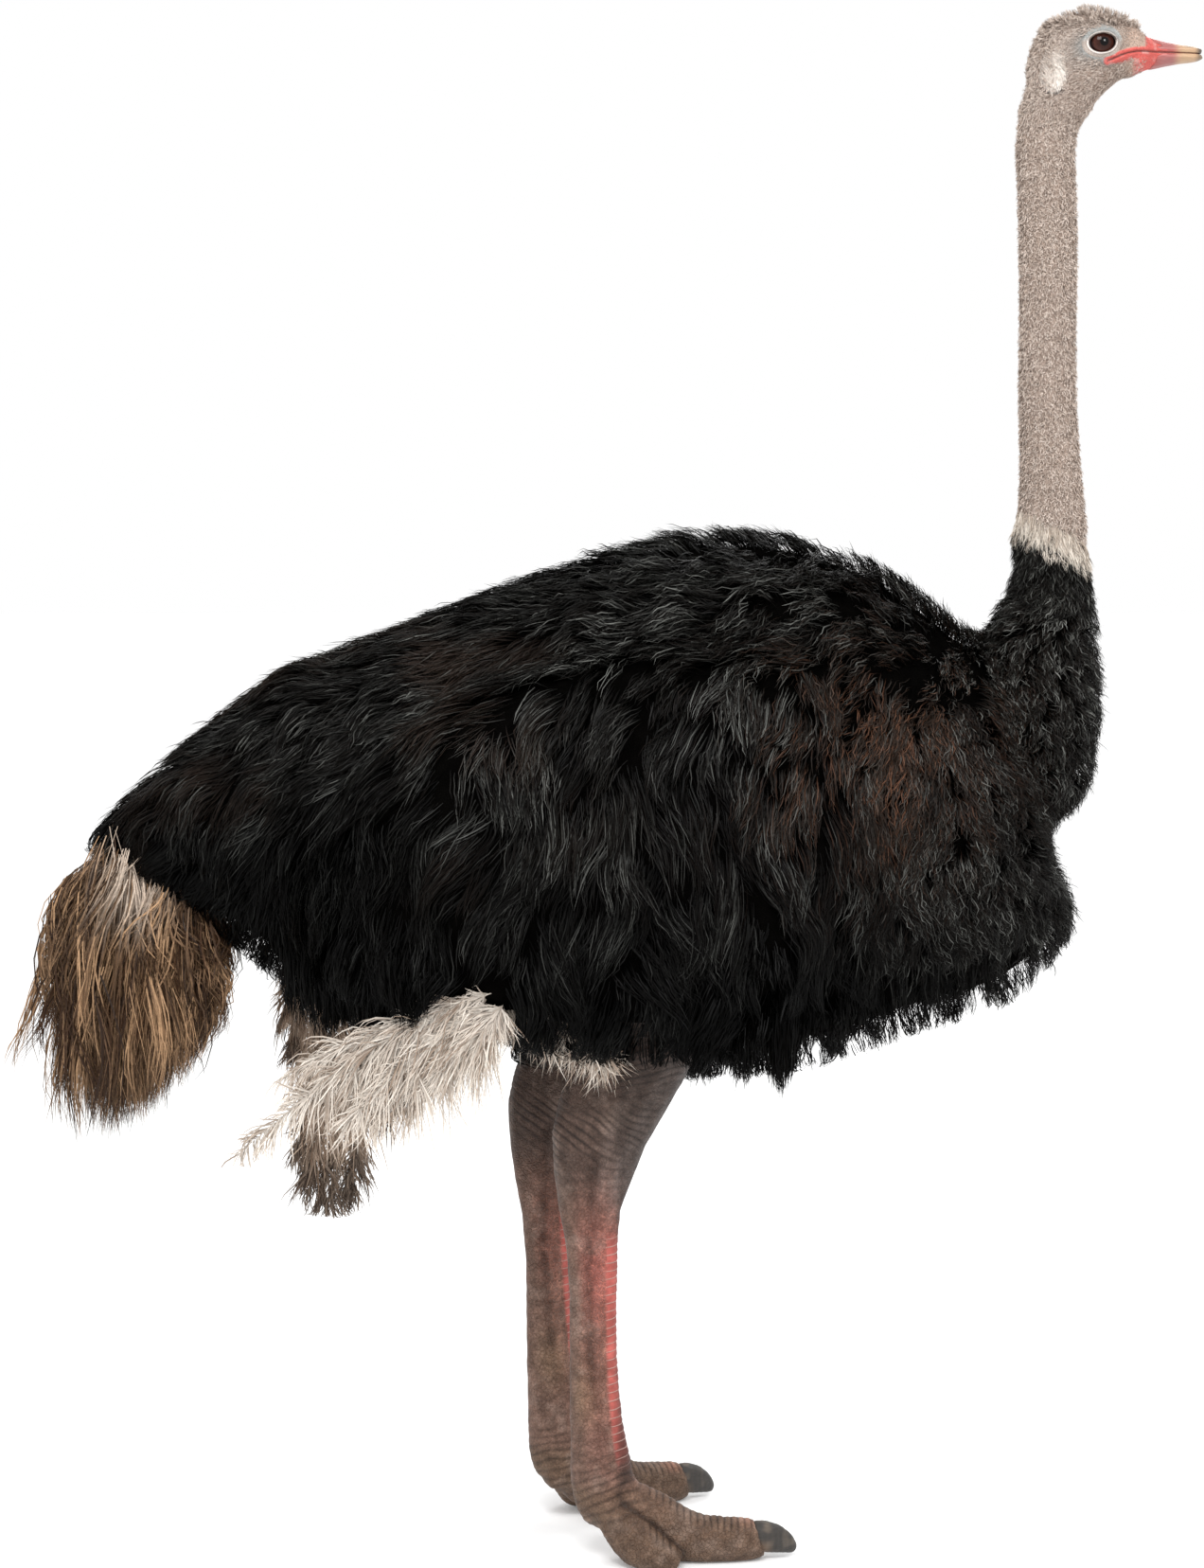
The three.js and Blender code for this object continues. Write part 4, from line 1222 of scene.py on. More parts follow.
def body_coat(name, roots, per_lock, spread, tuft, relief, fuzz, seed):
    """One piece of body plumage. Each root carries a lock of per_lock strands, and the locks
    within each tuft lie over one another, draw together and end near one line, with a groove
    of the depth relief before the next tuft."""
    rng = np.random.default_rng(seed)
    steps = len(BARB_FORM)
    locks = len(roots)
    way, length, lift, curl = lie_at(roots)
    across = unit(np.cross(coat.normal(roots), way))
    centres = tuft_centres(roots, tuft)
    own = np.argmin(((roots[:, None] - centres[None]) ** 2).sum(2), 1)
    away = roots - centres[own]
    aside = np.clip((away * across).sum(1) / tuft, -1, 1)
    ahead = np.clip((away * way).sum(1) / tuft, -1, 1)
    turn = rng.normal(0, 0.24, len(centres))[own]
    sway = across * (turn - 0.32 * aside)[:, None] + rng.normal(0, 0.14, (locks, 3))
    length = length * rng.uniform(0.85, 1.2, locks) * rng.uniform(0.85, 1.2, len(centres))[own]
    length = length * (1 - 0.25 * ahead)
    depth = rng.random(len(centres))[own] + 0.6 * aside**2 + 0.35 * np.clip(ahead, 0, 1)
    top = -0.001 - relief * depth - 0.008 * rng.beta(1.2, 2.2, locks)
    lock_lift = lift * rng.uniform(0.2, 1.5, locks)
    guides = lock_guides(coat, roots, length * 1.5, top, lock_lift, sway, rng)
    which = np.repeat(np.arange(locks), per_lock)
    count = len(which)
    first = rng.uniform(0.0, 0.48, count)
    share = rng.uniform(0.42, 0.56, count)
    s = np.linspace(0, 1, steps)
    u = first[:, None] + share[:, None] * s
    path = along_guides(guides, which, u)
    run = unit(np.gradient(path, axis=1))
    out = coat.normal(path[:, 1])[:, None, :] + 0 * path
    side = unit(np.cross(out, run))
    out = np.cross(run, side)
    gather = 1 - 0.72 * u**1.4
    a = np.clip(rng.normal(0, 1, count), -2, 2)[:, None] * spread * gather
    b = np.clip(rng.normal(0, 0.32, count), -1, 1)[:, None] * spread * gather
    b = b + rng.uniform(0.003, 0.010, count)[:, None] * (rng.random(count) < 0.07)[:, None] * s**2
    sink = 0.006 * (1 - s) ** 2
    amount = fuzz * (0.15 + curl[which]) * rng.uniform(0.001, 0.007, count)
    c1, c2 = curl_of(count, steps, length[which], amount, rng)
    path = path + side * (a + c1)[..., None] + out * (b + 0.7 * c2 - sink)[..., None]
    roll = rng.normal(0, 0.45, count)[:, None, None] + 0.5 * s[None, :, None]
    flat = side * np.cos(roll) + out * np.sin(roll)
    width = BARB_WIDTH * rng.uniform(0.6, 1.2, count)[:, None] * BARB_FORM
    tone = rng.random(count) * 0.78 + (rng.random(locks) * 0.26)[which]
    tone = tone + rng.normal(0, 0.08, len(centres))[own][which]
    tints = body_tints(path[:, 0], steps, tone, rng)
    # painted shade: strands are darker the deeper they lie in the coat
    shaded = 0.20 + 0.80 * ramp(coat.height(path), -0.026, -0.003)
    # painted light and shade: darker low on the body and underneath it, lighter over the breast, and a
    # painted sheen over the base of the neck
    light = 0.14 + 0.86 * ramp(path[..., 2], 0.72, 1.20) + 0.45 * ramp(path[..., 0], 0.33, 0.50)
    light = np.minimum(light, 1) + 0.6 * ramp(path[..., 2], 1.12, 1.30) * ramp(path[..., 0], 0.50, 0.60)
    shaded = shaded * light
    # darker over the lower end of the rump
    shaded = shaded * (1 - 0.6 * ramp(path[..., 0], -0.10, -0.40) * ramp(path[..., 2], 1.14, 1.0))
    tints = tints * shaded[..., None]
    px, py, pz = np.moveaxis(path[:, 2:], -1, 0)
    over_plumes = (px < PLUMES_FRONT) & (px > PLUMES_REAR - 1.6 * (PLUMES_TOP - pz))
    over_plumes &= (pz < PLUMES_TOP + 0.004) & (py < 0)
    kept = ~over_plumes.any(1)
    item = barb_mesh(
        name, path[kept], flat[kept], width[kept], tints[kept], round_body(path[kept, 0]), black_barbs,
    )
    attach(item, "root")
    return item


rng = np.random.default_rng(40)
roots = scattered_roots(body_points, body_quads, 60000, rng)
outward = coat.normal(roots)
mid_coat = roots + outward * 0.018
in_wing = {side: coat.read(coat.node(f"wing_{side}", 0.05), mid_coat) < 0.003 for side in ("right", "left")}
in_neck = coat.read(coat.node("neck_base", 0.05), roots + outward * 0.01) < 0.003
x, y, z = roots.T
taken = in_wing["right"] | in_wing["left"] | in_neck
belly = ~taken & (outward[:, 2] < -0.35) & (z < 0.95)
taken |= belly
breast = ~taken & (x > 0.36) & (z < 1.21)
taken |= breast
mantle = ~taken & (x > -0.02)
back = ~taken & ~mantle
right_side = y < 0
BODY_PIECES = {
    "wing_coat_right": (in_wing["right"], 940, 26, 0.010, 0.080, 0.018, 1.0),
    "wing_coat_left": (in_wing["left"], 480, 24, 0.013, 0.080, 0.018, 1.0),
    "neck_base_coat": (in_neck, 2060, 9, 0.005, 0.022, 0.004, 1.5),
    "belly_coat": (belly, 600, 18, 0.010, 0.050, 0.010, 1.0),
    "breast_coat_right": (breast & right_side, 1950, 9, 0.006, 0.030, 0.006, 1.5),
    "breast_coat_left": (breast & ~right_side, 1050, 9, 0.008, 0.030, 0.006, 1.5),
    "mantle_coat": (mantle, 1760, 12, 0.008, 0.045, 0.011, 1.3),
    "back_coat_right": (back & right_side, 1600, 12, 0.008, 0.055, 0.006, 0.9),
    "back_coat_left": (back & ~right_side, 950, 12, 0.011, 0.055, 0.006, 0.9),
}
for seed, (name, (chosen, locks, *make)) in enumerate(BODY_PIECES.items()):
    picked = np.flatnonzero(chosen)[:locks]
    piece = body_coat(name, roots[picked], *make, 100 + seed)
    if name.startswith("wing_coat"):
        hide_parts(name.replace("coat_", ""))


# ---------------------------------------------------------------------------------------------
# Down of the neck and the head: short, crimped, grey-fawn barbs that stand close like the pile
# of a towel, shortest on the cheeks and chin, and run up into stiff bristles on the crown.
DOWN_PALE = (0.860, 0.750, 0.670)
DOWN_FAWN = (0.540, 0.430, 0.360)
DOWN_ROOT = (0.240, 0.180, 0.145)
NECK_BARBS = 30000
HEAD_BARBS = 22000
CROWN_TUFTS = 620
CROWN_PER_TUFT = 8
DOWN_BLUE = (0.300, 0.315, 0.310)
NECK_AXIS_X = 0.665
COLLAR_X = 0.640
COLLAR_Z = 1.401
COLLAR_SLANT = 0.54

soft_down = plume_material("soft_down", 0.8, 0.1, 0.80)


def short_barbs(form, roots, way, length, stand, bend, width, taper, rng):
    """Paths, broad sides and widths of single short barbs. Each leaves the hide by the angle stand,
    runs towards way, bows to the side by the share bend, and dips again at its tip."""
    steps = len(taper)
    n = form.normal(roots)
    way = unit(way - (way * n).sum(1, keepdims=True) * n)
    side = np.cross(n, way)
    s = np.linspace(0, 1, steps)[None, :, None]
    reach = length[:, None, None]
    rise = np.sin(stand)[:, None, None] * (s - 0.35 * s * s)
    path = roots[:, None] + reach * (way[:, None] * s * np.cos(stand)[:, None, None] + n[:, None] * rise)
    path = path + side[:, None] * reach * bend[:, None, None] * (np.sin(math.pi * s) + 0.5 * s)
    roll = rng.normal(0, 0.8, len(roots))[:, None]
    flat = side * np.cos(roll) + n * np.sin(roll)
    widths = rng.uniform(*width, len(roots))[:, None] * taper
    return path, np.repeat(flat[:, None], steps, 1), widths


def round_column(p):
    """A place on the hide of neck or head, cut down the back and spread flat."""
    turn = np.arctan2(p[:, 1], p[:, 0] - NECK_AXIS_X) / (2 * math.pi)
    return np.stack([turn, p[:, 2] * 2], -1)


def down_tints(tone, steps, pale=0.0):
    """Dark at the root and pale at the tip, with every barb a little different."""
    tip = tinted(DOWN_FAWN, (DOWN_PALE, tone), (EAR_PALE, pale + 0 * tone))
    s = np.linspace(0, 1, steps)[None, :, None] ** 0.7
    return tip[:, None] * s + np.array(DOWN_ROOT) * (1 - s)


def over_collar(p):
    """How high p is above the slanting line where the black of the neck ends."""
    return p[:, 2] - (COLLAR_Z - COLLAR_SLANT * (p[:, 0] - COLLAR_X))


rng = np.random.default_rng(60)
roots = scattered_roots(neck_points, neck_quads, NECK_BARBS * 2, rng)
keep = (over_collar(roots) > 0.016) & (roots[:, 2] < HEAD_FOOT + 0.012)
roots = roots[keep][:NECK_BARBS]
count = len(roots)
way = rng.normal(0, 0.75, (count, 3)) - (0, 0, 1.0)
tone = np.clip(0.5 + 0.22 * ripple(roots, 0.008, 61) + rng.normal(0, 0.36, count), 0, 1)
path, flat, widths = short_barbs(
    neck, roots, way, rng.uniform(0.006, 0.0115, count), rng.uniform(0.25, 0.95, count),
    rng.normal(0, 0.30, count), (0.0008, 0.0014), [0.8, 1.0, 0.0], rng,
)
neck_down = barb_mesh("neck_down", path, flat, widths, down_tints(tone, 3), round_column(roots), soft_down)
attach(neck_down, "root")

roots = scattered_roots(head_points, head_quads, HEAD_BARBS * 3, rng)
rx, ry, rz = roots.T
aside = np.abs(ry) > 0.010
around_eye = np.hypot(rx - eye_x, rz - eye_z)
bare = aside & (np.sqrt(eye_opening(rx, rz)) < 1.62)
bare |= aside & (beside_line(rx, rz, mouth_line) < 0.0075)
bare |= (rx > bill_root[0] - 0.004) | (head.height(roots) < -0.006)
thin = ramp(rx, eye_x + 0.028, eye_x + 0.057)
bare |= rng.random(len(roots)) < 0.72 * thin
bare |= aside & (beside_line(rx, rz, ear_front) < 0.0030) & (rng.random(len(roots)) < 0.95)
bare |= aside & (beside_line(rx, rz, ear_under) < 0.0038) & (rng.random(len(roots)) < 0.8)
in_ear = np.hypot((rx - ear_x + 0.002) / 0.60, rz - ear_z - 0.001)
bare |= aside & (rng.random(len(roots)) < 0.85 * ramp(in_ear, 0.030, 0.022))
blue = aside * bump(np.hypot(rx - eye_x + 0.026, 0.8 * (rz - eye_z + 0.009)), 0.013)
bare |= rng.random(len(roots)) < 0.55 * blue
roots = roots[~bare][:HEAD_BARBS]
rx, _, rz = roots.T
count = len(roots)
crown = ramp(rz, 2.115, 2.135)
nape = ramp(rx, eye_x - 0.035, eye_x - 0.075)
face_part = ramp(rx, eye_x - 0.01, eye_x + 0.035)
way = np.stack([-1.0 + 0.7 * nape, 0 * rx, -0.35 - 0.8 * nape + 0.5 * crown], -1)
way = way + rng.normal(0, 0.42, (count, 3))
length = (0.0085 - 0.0040 * face_part + 0.0022 * crown + 0.0016 * nape) * rng.uniform(0.7, 1.3, count)
stand = 0.50 + 0.4 * crown * (1 - 0.5 * face_part) + 0.15 * nape + rng.normal(0, 0.18, count)
tone = 0.52 - 0.62 * crown + 0.22 * ripple(roots, 0.007, 62) + 0.22 * ripple(roots, 0.022, 68)
tone = np.clip(tone + rng.normal(0, 0.34, count), 0, 1)
path, flat, widths = short_barbs(
    head, roots, way, length, stand, rng.normal(0, 0.18, count), (0.0005, 0.0009), [0.9, 1.0, 0.0], rng,
)
blue = 0.55 * bump(np.hypot(rx - eye_x + 0.026, 0.8 * (rz - eye_z + 0.009)), 0.015)[:, None, None]
shade = down_tints(tone, 3) * (1 - 0.20 * crown)[:, None, None]
shade = laid_over(shade, DOWN_BLUE, blue)
head_down = barb_mesh("head_down", path, flat, widths, shade, round_column(roots), soft_down)
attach(head_down, "root")

seeds = scattered_roots(head_points, head_quads, 40000, rng)
crest = (seeds[:, 2] > eye_z + 0.022) & (seeds[:, 0] < eye_x + 0.056)
crest |= (seeds[:, 0] < eye_x - 0.058) & (seeds[:, 2] > 2.01) & (rng.random(len(seeds)) < 0.4)
seeds = seeds[crest][:CROWN_TUFTS]
which = np.repeat(np.arange(len(seeds)), CROWN_PER_TUFT)
count = len(which)
roots = seeds[which] + rng.normal(0, 0.0015, (count, 3))
crown = ramp(seeds[:, 2], eye_z + 0.005, eye_z + 0.035)
forelock = bump(seeds[:, 0] - eye_x - 0.040, 0.014) * (rng.random(len(seeds)) < 0.3)
length = (0.0125 + 0.0040 * crown + 0.0080 * forelock) * rng.uniform(0.7, 1.15, len(seeds))
lean = np.array([-0.6, 0, 0.2]) + rng.normal(0, 0.55, seeds.shape) + forelock[:, None] * (1.0, 0, 0)
stand = 0.80 + 0.45 * crown + rng.normal(0, 0.14, len(seeds))
path, flat, widths = short_barbs(
    head, roots, lean[which] + rng.normal(0, 0.1, (count, 3)), length[which] * rng.uniform(0.8, 1.1, count),
    stand[which], rng.normal(0, 0.05, count), (0.0006, 0.0010), [1.0, 0.9, 0.6, 0.0], rng,
)
tips = path[:, -1].reshape(len(seeds), CROWN_PER_TUFT, 3).mean(axis=1)[which]
gather = 0.75 * np.linspace(0, 1, 4)[None, :, None] ** 1.5
path = path + gather * (tips - path[:, -1])[:, None]
tone = rng.uniform(0.3, 1.0, count)
shade = down_tints(tone, 4, 0.35) * np.array([0.9, 0.9, 1.0, 1.2])[:, None]
crown_bristles = barb_mesh("crown_bristles", path, flat, widths, shade, round_column(roots), soft_down)
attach(crown_bristles, "root")

# a short fringe of pale lashes along the upper lids
rims = [points.reshape(len(LID_ROWS), LID_TURNS, 3)[2, 4:54] for points, _ in lids.values()]
roots = np.repeat(np.concatenate(rims), 5, axis=0)
roots = roots + rng.normal(0, 0.0004, roots.shape)
count = len(roots)
way = np.stack([(roots[:, 0] - eye_x) * 28, np.sign(roots[:, 1]), -0.45 + 0 * roots[:, 2]], -1)
way = unit(way + rng.normal(0, 0.16, (count, 3)))
s = np.linspace(0, 1, 3)[None, :, None]
length = rng.uniform(0.0035, 0.0065, count)[:, None, None]
path = roots[:, None] + length * (way[:, None] * s + np.array([0, 0, 0.30]) * s * s)
widths = rng.uniform(0.0004, 0.0007, count)[:, None] * [1.0, 0.8, 0.0]
flat = np.tile(np.array([1.0, 0, 0.3]), (count, 3, 1))
tone = rng.uniform(0.3, 1.0, count)
lashes = barb_mesh("lashes", path, flat, widths, down_tints(tone, 3, 0.2), round_column(roots), soft_down)
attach(lashes, "root")


# ---------------------------------------------------------------------------------------------
# Ear tufts: a tongue of longer, paler down that grows from the front edge of each ear hole and
# is combed back over it in fine, close rows.
EAR_BARBS = 2700
EAR_CREAM = (0.960, 0.890, 0.820)

for side, side_name in ((-1, "right"), (1, "left")):
    low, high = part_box(f"ear_{side_name}")
    roots = scattered_roots(head_points, head_quads, 90000, rng)
    rx, ry, rz = roots.T
    patch = np.hypot((rx - ear_x + 0.003) / 0.62, rz - ear_z - 0.005)
    patch = rng.random(len(roots)) < ramp(patch, 0.031, 0.019)
    roots = roots[patch & (ry * side > 0.012)][:EAR_BARBS]
    count = len(roots)
    below = ramp(roots[:, 2], ear_z + 0.024, ear_z - 0.020)
    way = np.stack([0.9 - 0.65 * below, 0 * below, -0.42 - 0.55 * below], -1)
    way = way + rng.normal(0, 0.07, (count, 3))
    path, flat, widths = short_barbs(
        head, roots, way, rng.uniform(0.009, 0.016, count), rng.uniform(0.22, 0.55, count),
        -side * 0.10 + rng.normal(0, 0.04, count), (0.0004, 0.0008), [0.8, 1.0, 0.7, 0.0], rng,
    )
    tone = 0.80 + 20 * (roots[:, 0] - ear_x) + 0.35 * below + 0.25 * ripple(roots, 0.004, 67)
    tone = np.clip(tone + rng.normal(0, 0.16, count), 0, 1)
    shade = tinted(DOWN_FAWN, (EAR_CREAM, tone))[:, None] * np.linspace(0.7, 1.05, 4)[:, None]
    ear_tuft = barb_mesh(f"ear_tuft_{side_name}", path, flat, widths, shade, round_column(roots), soft_down)
    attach(ear_tuft, "root")
    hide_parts(f"ear_{side_name}")


# ---------------------------------------------------------------------------------------------
# The collar: a slanting ring of white feathers, higher at the nape than at the throat. They are
# longer than the down above, soft, and part into pointed locks over the black. Below it the
# short black wool of the neck base begins.
COLLAR_LOCKS = 520
COLLAR_PER_LOCK = 12
COLLAR_WHITE = (0.800, 0.730, 0.640)
COLLAR_SHADE = (0.440, 0.355, 0.285)
THROAT_BARBS = 5600

white_barbs = plume_material("white_barbs", 0.7, 0.2, 0.86)
roots = scattered_roots(neck_points, neck_quads, 60000, rng)
over = over_collar(roots)
throat = roots[(over < 0.012) & (over > -0.075)][:THROAT_BARBS]
count = len(throat)
way = np.array([0.05, 0, -1.0]) + rng.normal(0, 0.28, (count, 3))
path, flat, widths = short_barbs(
    neck, throat, way, rng.uniform(0.016, 0.030, count), rng.uniform(0.25, 0.75, count),
    rng.normal(0, 0.22, count), (0.6 * BARB_WIDTH, 1.1 * BARB_WIDTH), [0.7, 1.0, 0.8, 0.0], rng,
)
shade = body_tints(throat, 4, rng.random(count), rng)
throat_coat = barb_mesh("throat_coat", path, flat, widths, shade, round_column(throat), black_barbs)
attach(throat_coat, "root")

roots = roots[(over > 0.006) & (over < 0.038)][:COLLAR_LOCKS]
locks = len(roots)
which = np.repeat(np.arange(locks), COLLAR_PER_LOCK)
count = len(which)
n = neck.normal(roots)
lock_way = unit(np.array([0.12, 0, -1.0]) + rng.normal(0, 0.22, (locks, 3)))
across = unit(np.cross(n, lock_way))
aside = np.clip(rng.normal(0, 1, count), -2, 2) * 0.0034
start = roots[which] + across[which] * aside[:, None]
pull = -across[which] * (aside * 0.6)[:, None] / 0.02
length = rng.uniform(0.016, 0.034, locks)[which] * rng.uniform(0.75, 1.1, count)
stand = rng.uniform(0.15, 0.50, locks)[which] + rng.normal(0, 0.06, count)
path, flat, widths = short_barbs(
    neck, start, lock_way[which] + pull, length, stand, rng.normal(0, 0.07, count),
    (0.0008, 0.0016), [0.8, 1.0, 0.8, 0.0], rng,
)
above = ramp(over_collar(start), 0.024, 0.038) * 0.5
tone = np.clip(rng.normal(0.8, 0.2, count) + rng.normal(0, 0.12, locks)[which] - above, 0, 1)
shade = tinted(COLLAR_SHADE, (COLLAR_WHITE, tone))[:, None] * np.linspace(0.7, 1.0, 4)[:, None]
collar = barb_mesh("collar", path, flat, widths, shade, round_column(start), white_barbs)
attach(collar, "root")


# ---------------------------------------------------------------------------------------------
# The tail: a mop of long, stringy plumes that arch out of the rump and then hang straight down,
# each ending at its own height. They are whitish where they leave the black and brown at the tips.
# Over the outside of the mop they are painted tan and inside brown, as painted light and shade.
TAIL_LOCKS = 440
TAIL_PER_LOCK = 21
TAIL_STEPS = 7
TAIL_LAYERS = 0.26
TAIL_WISPS = 15
LOOSE_PLUMES = 2
LOOSE_TIP = (0.012, 0.080, 0.100)
LOOSE_BEND = (0.052, 0.100, 0.260)
TAIL_CELL = 0.008
TAIL_KEEL = 0.121
TAIL_EDGES = (0.066, 0.012)
HEM_RISE = (0.150, 0.175)
TAIL_MIDDLE_X = -0.655
TAIL_ROOT_X = -0.628
RUMP_END_X = -0.69
TAIL_CREAM = (0.640, 0.520, 0.420)
TAIL_TAN = (0.430, 0.262, 0.145)
TAIL_BROWN = (0.062, 0.029, 0.014)
TAIL_DARK = (0.016, 0.009, 0.006)


def strand_frame(path):
    """Two ways square to each strand and to each other."""
    run = unit(np.gradient(path, axis=1))
    side = unit(np.cross(run, np.array([0.0, 1.0, 0.0])))
    return side, np.cross(run, side)


def turned_blades(side, out, spread, rng):
    """The way each blade is broad, turned about its strand by chance."""
    roll = rng.normal(0, spread, len(side))[:, None, None]
    return side * np.cos(roll) + out * np.sin(roll)


tail_barbs = plume_material("tail_barbs", 0.5, 0.14, 0.75)
rng = np.random.default_rng(70)
tail_low, tail_high = (np.array(v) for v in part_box("tail"))
low, high = node_span(("tail",), 0.02)
bunch = Form(low, high, TAIL_CELL)
bunch.distance = bunch.node("tail", 0.03)
keel_x = tail_low[0] + TAIL_KEEL
edge_x = (tail_low[0] + TAIL_EDGES[0], tail_high[0] - TAIL_EDGES[1])
tips = rng.uniform((edge_x[0], -1, 0), (edge_x[1], 1, 1), (TAIL_LOCKS, 3))
from_keel = tips[:, 0] - keel_x
half_run = np.where(from_keel < 0, keel_x - edge_x[0], edge_x[1] - keel_x)
hem = tail_low[2] + 0.004 + np.where(from_keel < 0, *HEM_RISE) * (from_keel / half_run) ** 2
wisp_x = np.linspace(*edge_x, TAIL_WISPS) + rng.normal(0, 0.005, TAIL_WISPS)
wisp = np.abs(tips[:, :1] - wisp_x).argmin(1)
hem += rng.uniform(-0.030, 0.020, TAIL_WISPS)[wisp]
tips[:, 2] = hem + TAIL_LAYERS * tips[:, 2] ** 2.6
gathered = 0.80 * ramp(tips[:, 2] - hem, 0.16, 0.04)
tips[:, 0] += gathered * (wisp_x[wisp] - tips[:, 0])
tips[:, 1] *= 0.095 * np.sqrt(1 - 0.7 * (from_keel / half_run) ** 2)
tips[-LOOSE_PLUMES:] = tail_low + LOOSE_TIP
root_x = TAIL_ROOT_X + (tips[:, 0] - TAIL_MIDDLE_X) * 0.50 + rng.uniform(-0.030, 0.030, len(tips))
root_y = tips[:, 1] * rng.uniform(0.5, 0.85, len(tips))
root_x = np.maximum(root_x, RUMP_END_X)
root = np.stack([root_x, root_y, 0.95 + 0 * root_x], -1)
for _ in range(12):
    root[:, 2] -= coat.height(root) * np.sign(coat.normal(root)[:, 2]) * 0.6
root[:, 2] += 0.016
root_z = root[:, 2]
tips[:, 2] = np.minimum(tips[:, 2], root_z - 0.10)
reach_x = 0.45 * (root_z - tips[:, 2]) + 0.01
tips[:, 0] = np.clip(tips[:, 0], root_x - reach_x, root_x + reach_x)
over_tip = np.stack([
    tips[:, 0] + 0.04 * (tips[:, 0] - TAIL_MIDDLE_X) + rng.normal(0, 0.010, len(tips)),
    tips[:, 1] * 1.10,
    root_z - 0.40 * (root_z - tips[:, 2]),
], -1)
over_tip[-LOOSE_PLUMES:] = tail_low + LOOSE_BEND
which = np.repeat(np.arange(len(tips)), TAIL_PER_LOCK)
count = len(which)
s = np.linspace(0, 1, TAIL_STEPS)[None, :]
begin = rng.uniform(-0.02, 0.55, count)[:, None]
span = (1 - begin) * rng.uniform(0.84, 1.04, count)[:, None]
u = (begin + span * s)[..., None]
path = root[which][:, None] * (1 - u) ** 2 + 2 * over_tip[which][:, None] * u * (1 - u)
path = path + tips[which][:, None] * u * u
own = np.clip(rng.normal(0, 1, (count, 1, 3)), -2, 2) * (0.010, 0.012, 0.0)
path = path + own * (0.40 + 1.5 * u - 1.75 * u * u)
sway = np.stack([rng.normal(0, 0.015, len(tips)), rng.normal(0, 0.012, len(tips)), 0 * root_x], -1)
turns = rng.uniform(1.2, 2.2, len(tips))[which][:, None, None]
path = path + sway[which][:, None] * np.sin(math.pi * turns * u)
side, out = strand_frame(path)
stray = rng.random(count) < 0.15
amount = rng.uniform(0.002, 0.010, count) * (1 + 0.8 * stray)
c1, c2 = curl_of(count, TAIL_STEPS, 0.12 + 0 * amount, amount, rng, (0.05, 0.16))
path = path + side * c1[..., None] + out * c2[..., None]
path[..., 2] = np.maximum(path[..., 2], tail_low[2] - 0.006)
flat = turned_blades(side, out, 0.7, rng)
widths = rng.uniform(0.0010, 0.0028, count)[:, None] * np.array([0.7, 1.0, 1.0, 0.9, 0.75, 0.5, 0.0])
lock_tone = rng.normal(0, 0.36, len(tips))
# painted light and shade: locks whose tips lie on the outside of the mop are lighter, those inside darker
outer_light = ramp(bunch.height(tips), -0.050, -0.008)
tone = np.clip(rng.normal(0.04, 0.32, count) + (lock_tone + 0.40 * outer_light)[which], 0, 1) ** 1.3
shade = tinted(TAIL_BROWN, (TAIL_TAN, tone), (TAIL_DARK, 0.9 * (1 - tone) * rng.random(count)))
shade = np.repeat(shade[:, None], TAIL_STEPS, 1)
level = (tail_high[2] - path[..., 2]) / (tail_high[2] - tail_low[2])
near_root = bump(path[..., 0] + 0.645, 0.040)
pale = (ramp(level, 0.30, 0.10) * near_root * (rng.random(count) < 0.8)[:, None])[..., None]
shade = laid_over(shade, TAIL_CREAM, pale)
dark = (0.85 * ramp(level, 0.55, 0.95) * rng.uniform(0.2, 1, count)[:, None])[..., None]
shade = laid_over(shade, TAIL_DARK, dark)
places = np.stack([np.arctan2(tips[which, 1], tips[which, 0] - TAIL_MIDDLE_X) / 6.3, begin[:, 0]], -1)
tail_plumes = barb_mesh("tail_plumes", path, flat, widths, shade, places, tail_barbs)
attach(tail_plumes, "root")
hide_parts("tail")


# ---------------------------------------------------------------------------------------------
# Wing plumes: the long quills that hang out below the folded wings. Each has a thin pale shaft
# with loose barbs on both sides that droop and cling together towards their tips.
WHITE_CREAM = (0.860, 0.780, 0.690)
WHITE_SHADE = (0.330, 0.245, 0.185)
FAR_TAN = (0.560, 0.430, 0.330)
FAR_BROWN = (0.230, 0.150, 0.100)
FAR_DARK = (0.030, 0.019, 0.014)
BARB_STEPS = 5
QUILL_BUNCHES = 24

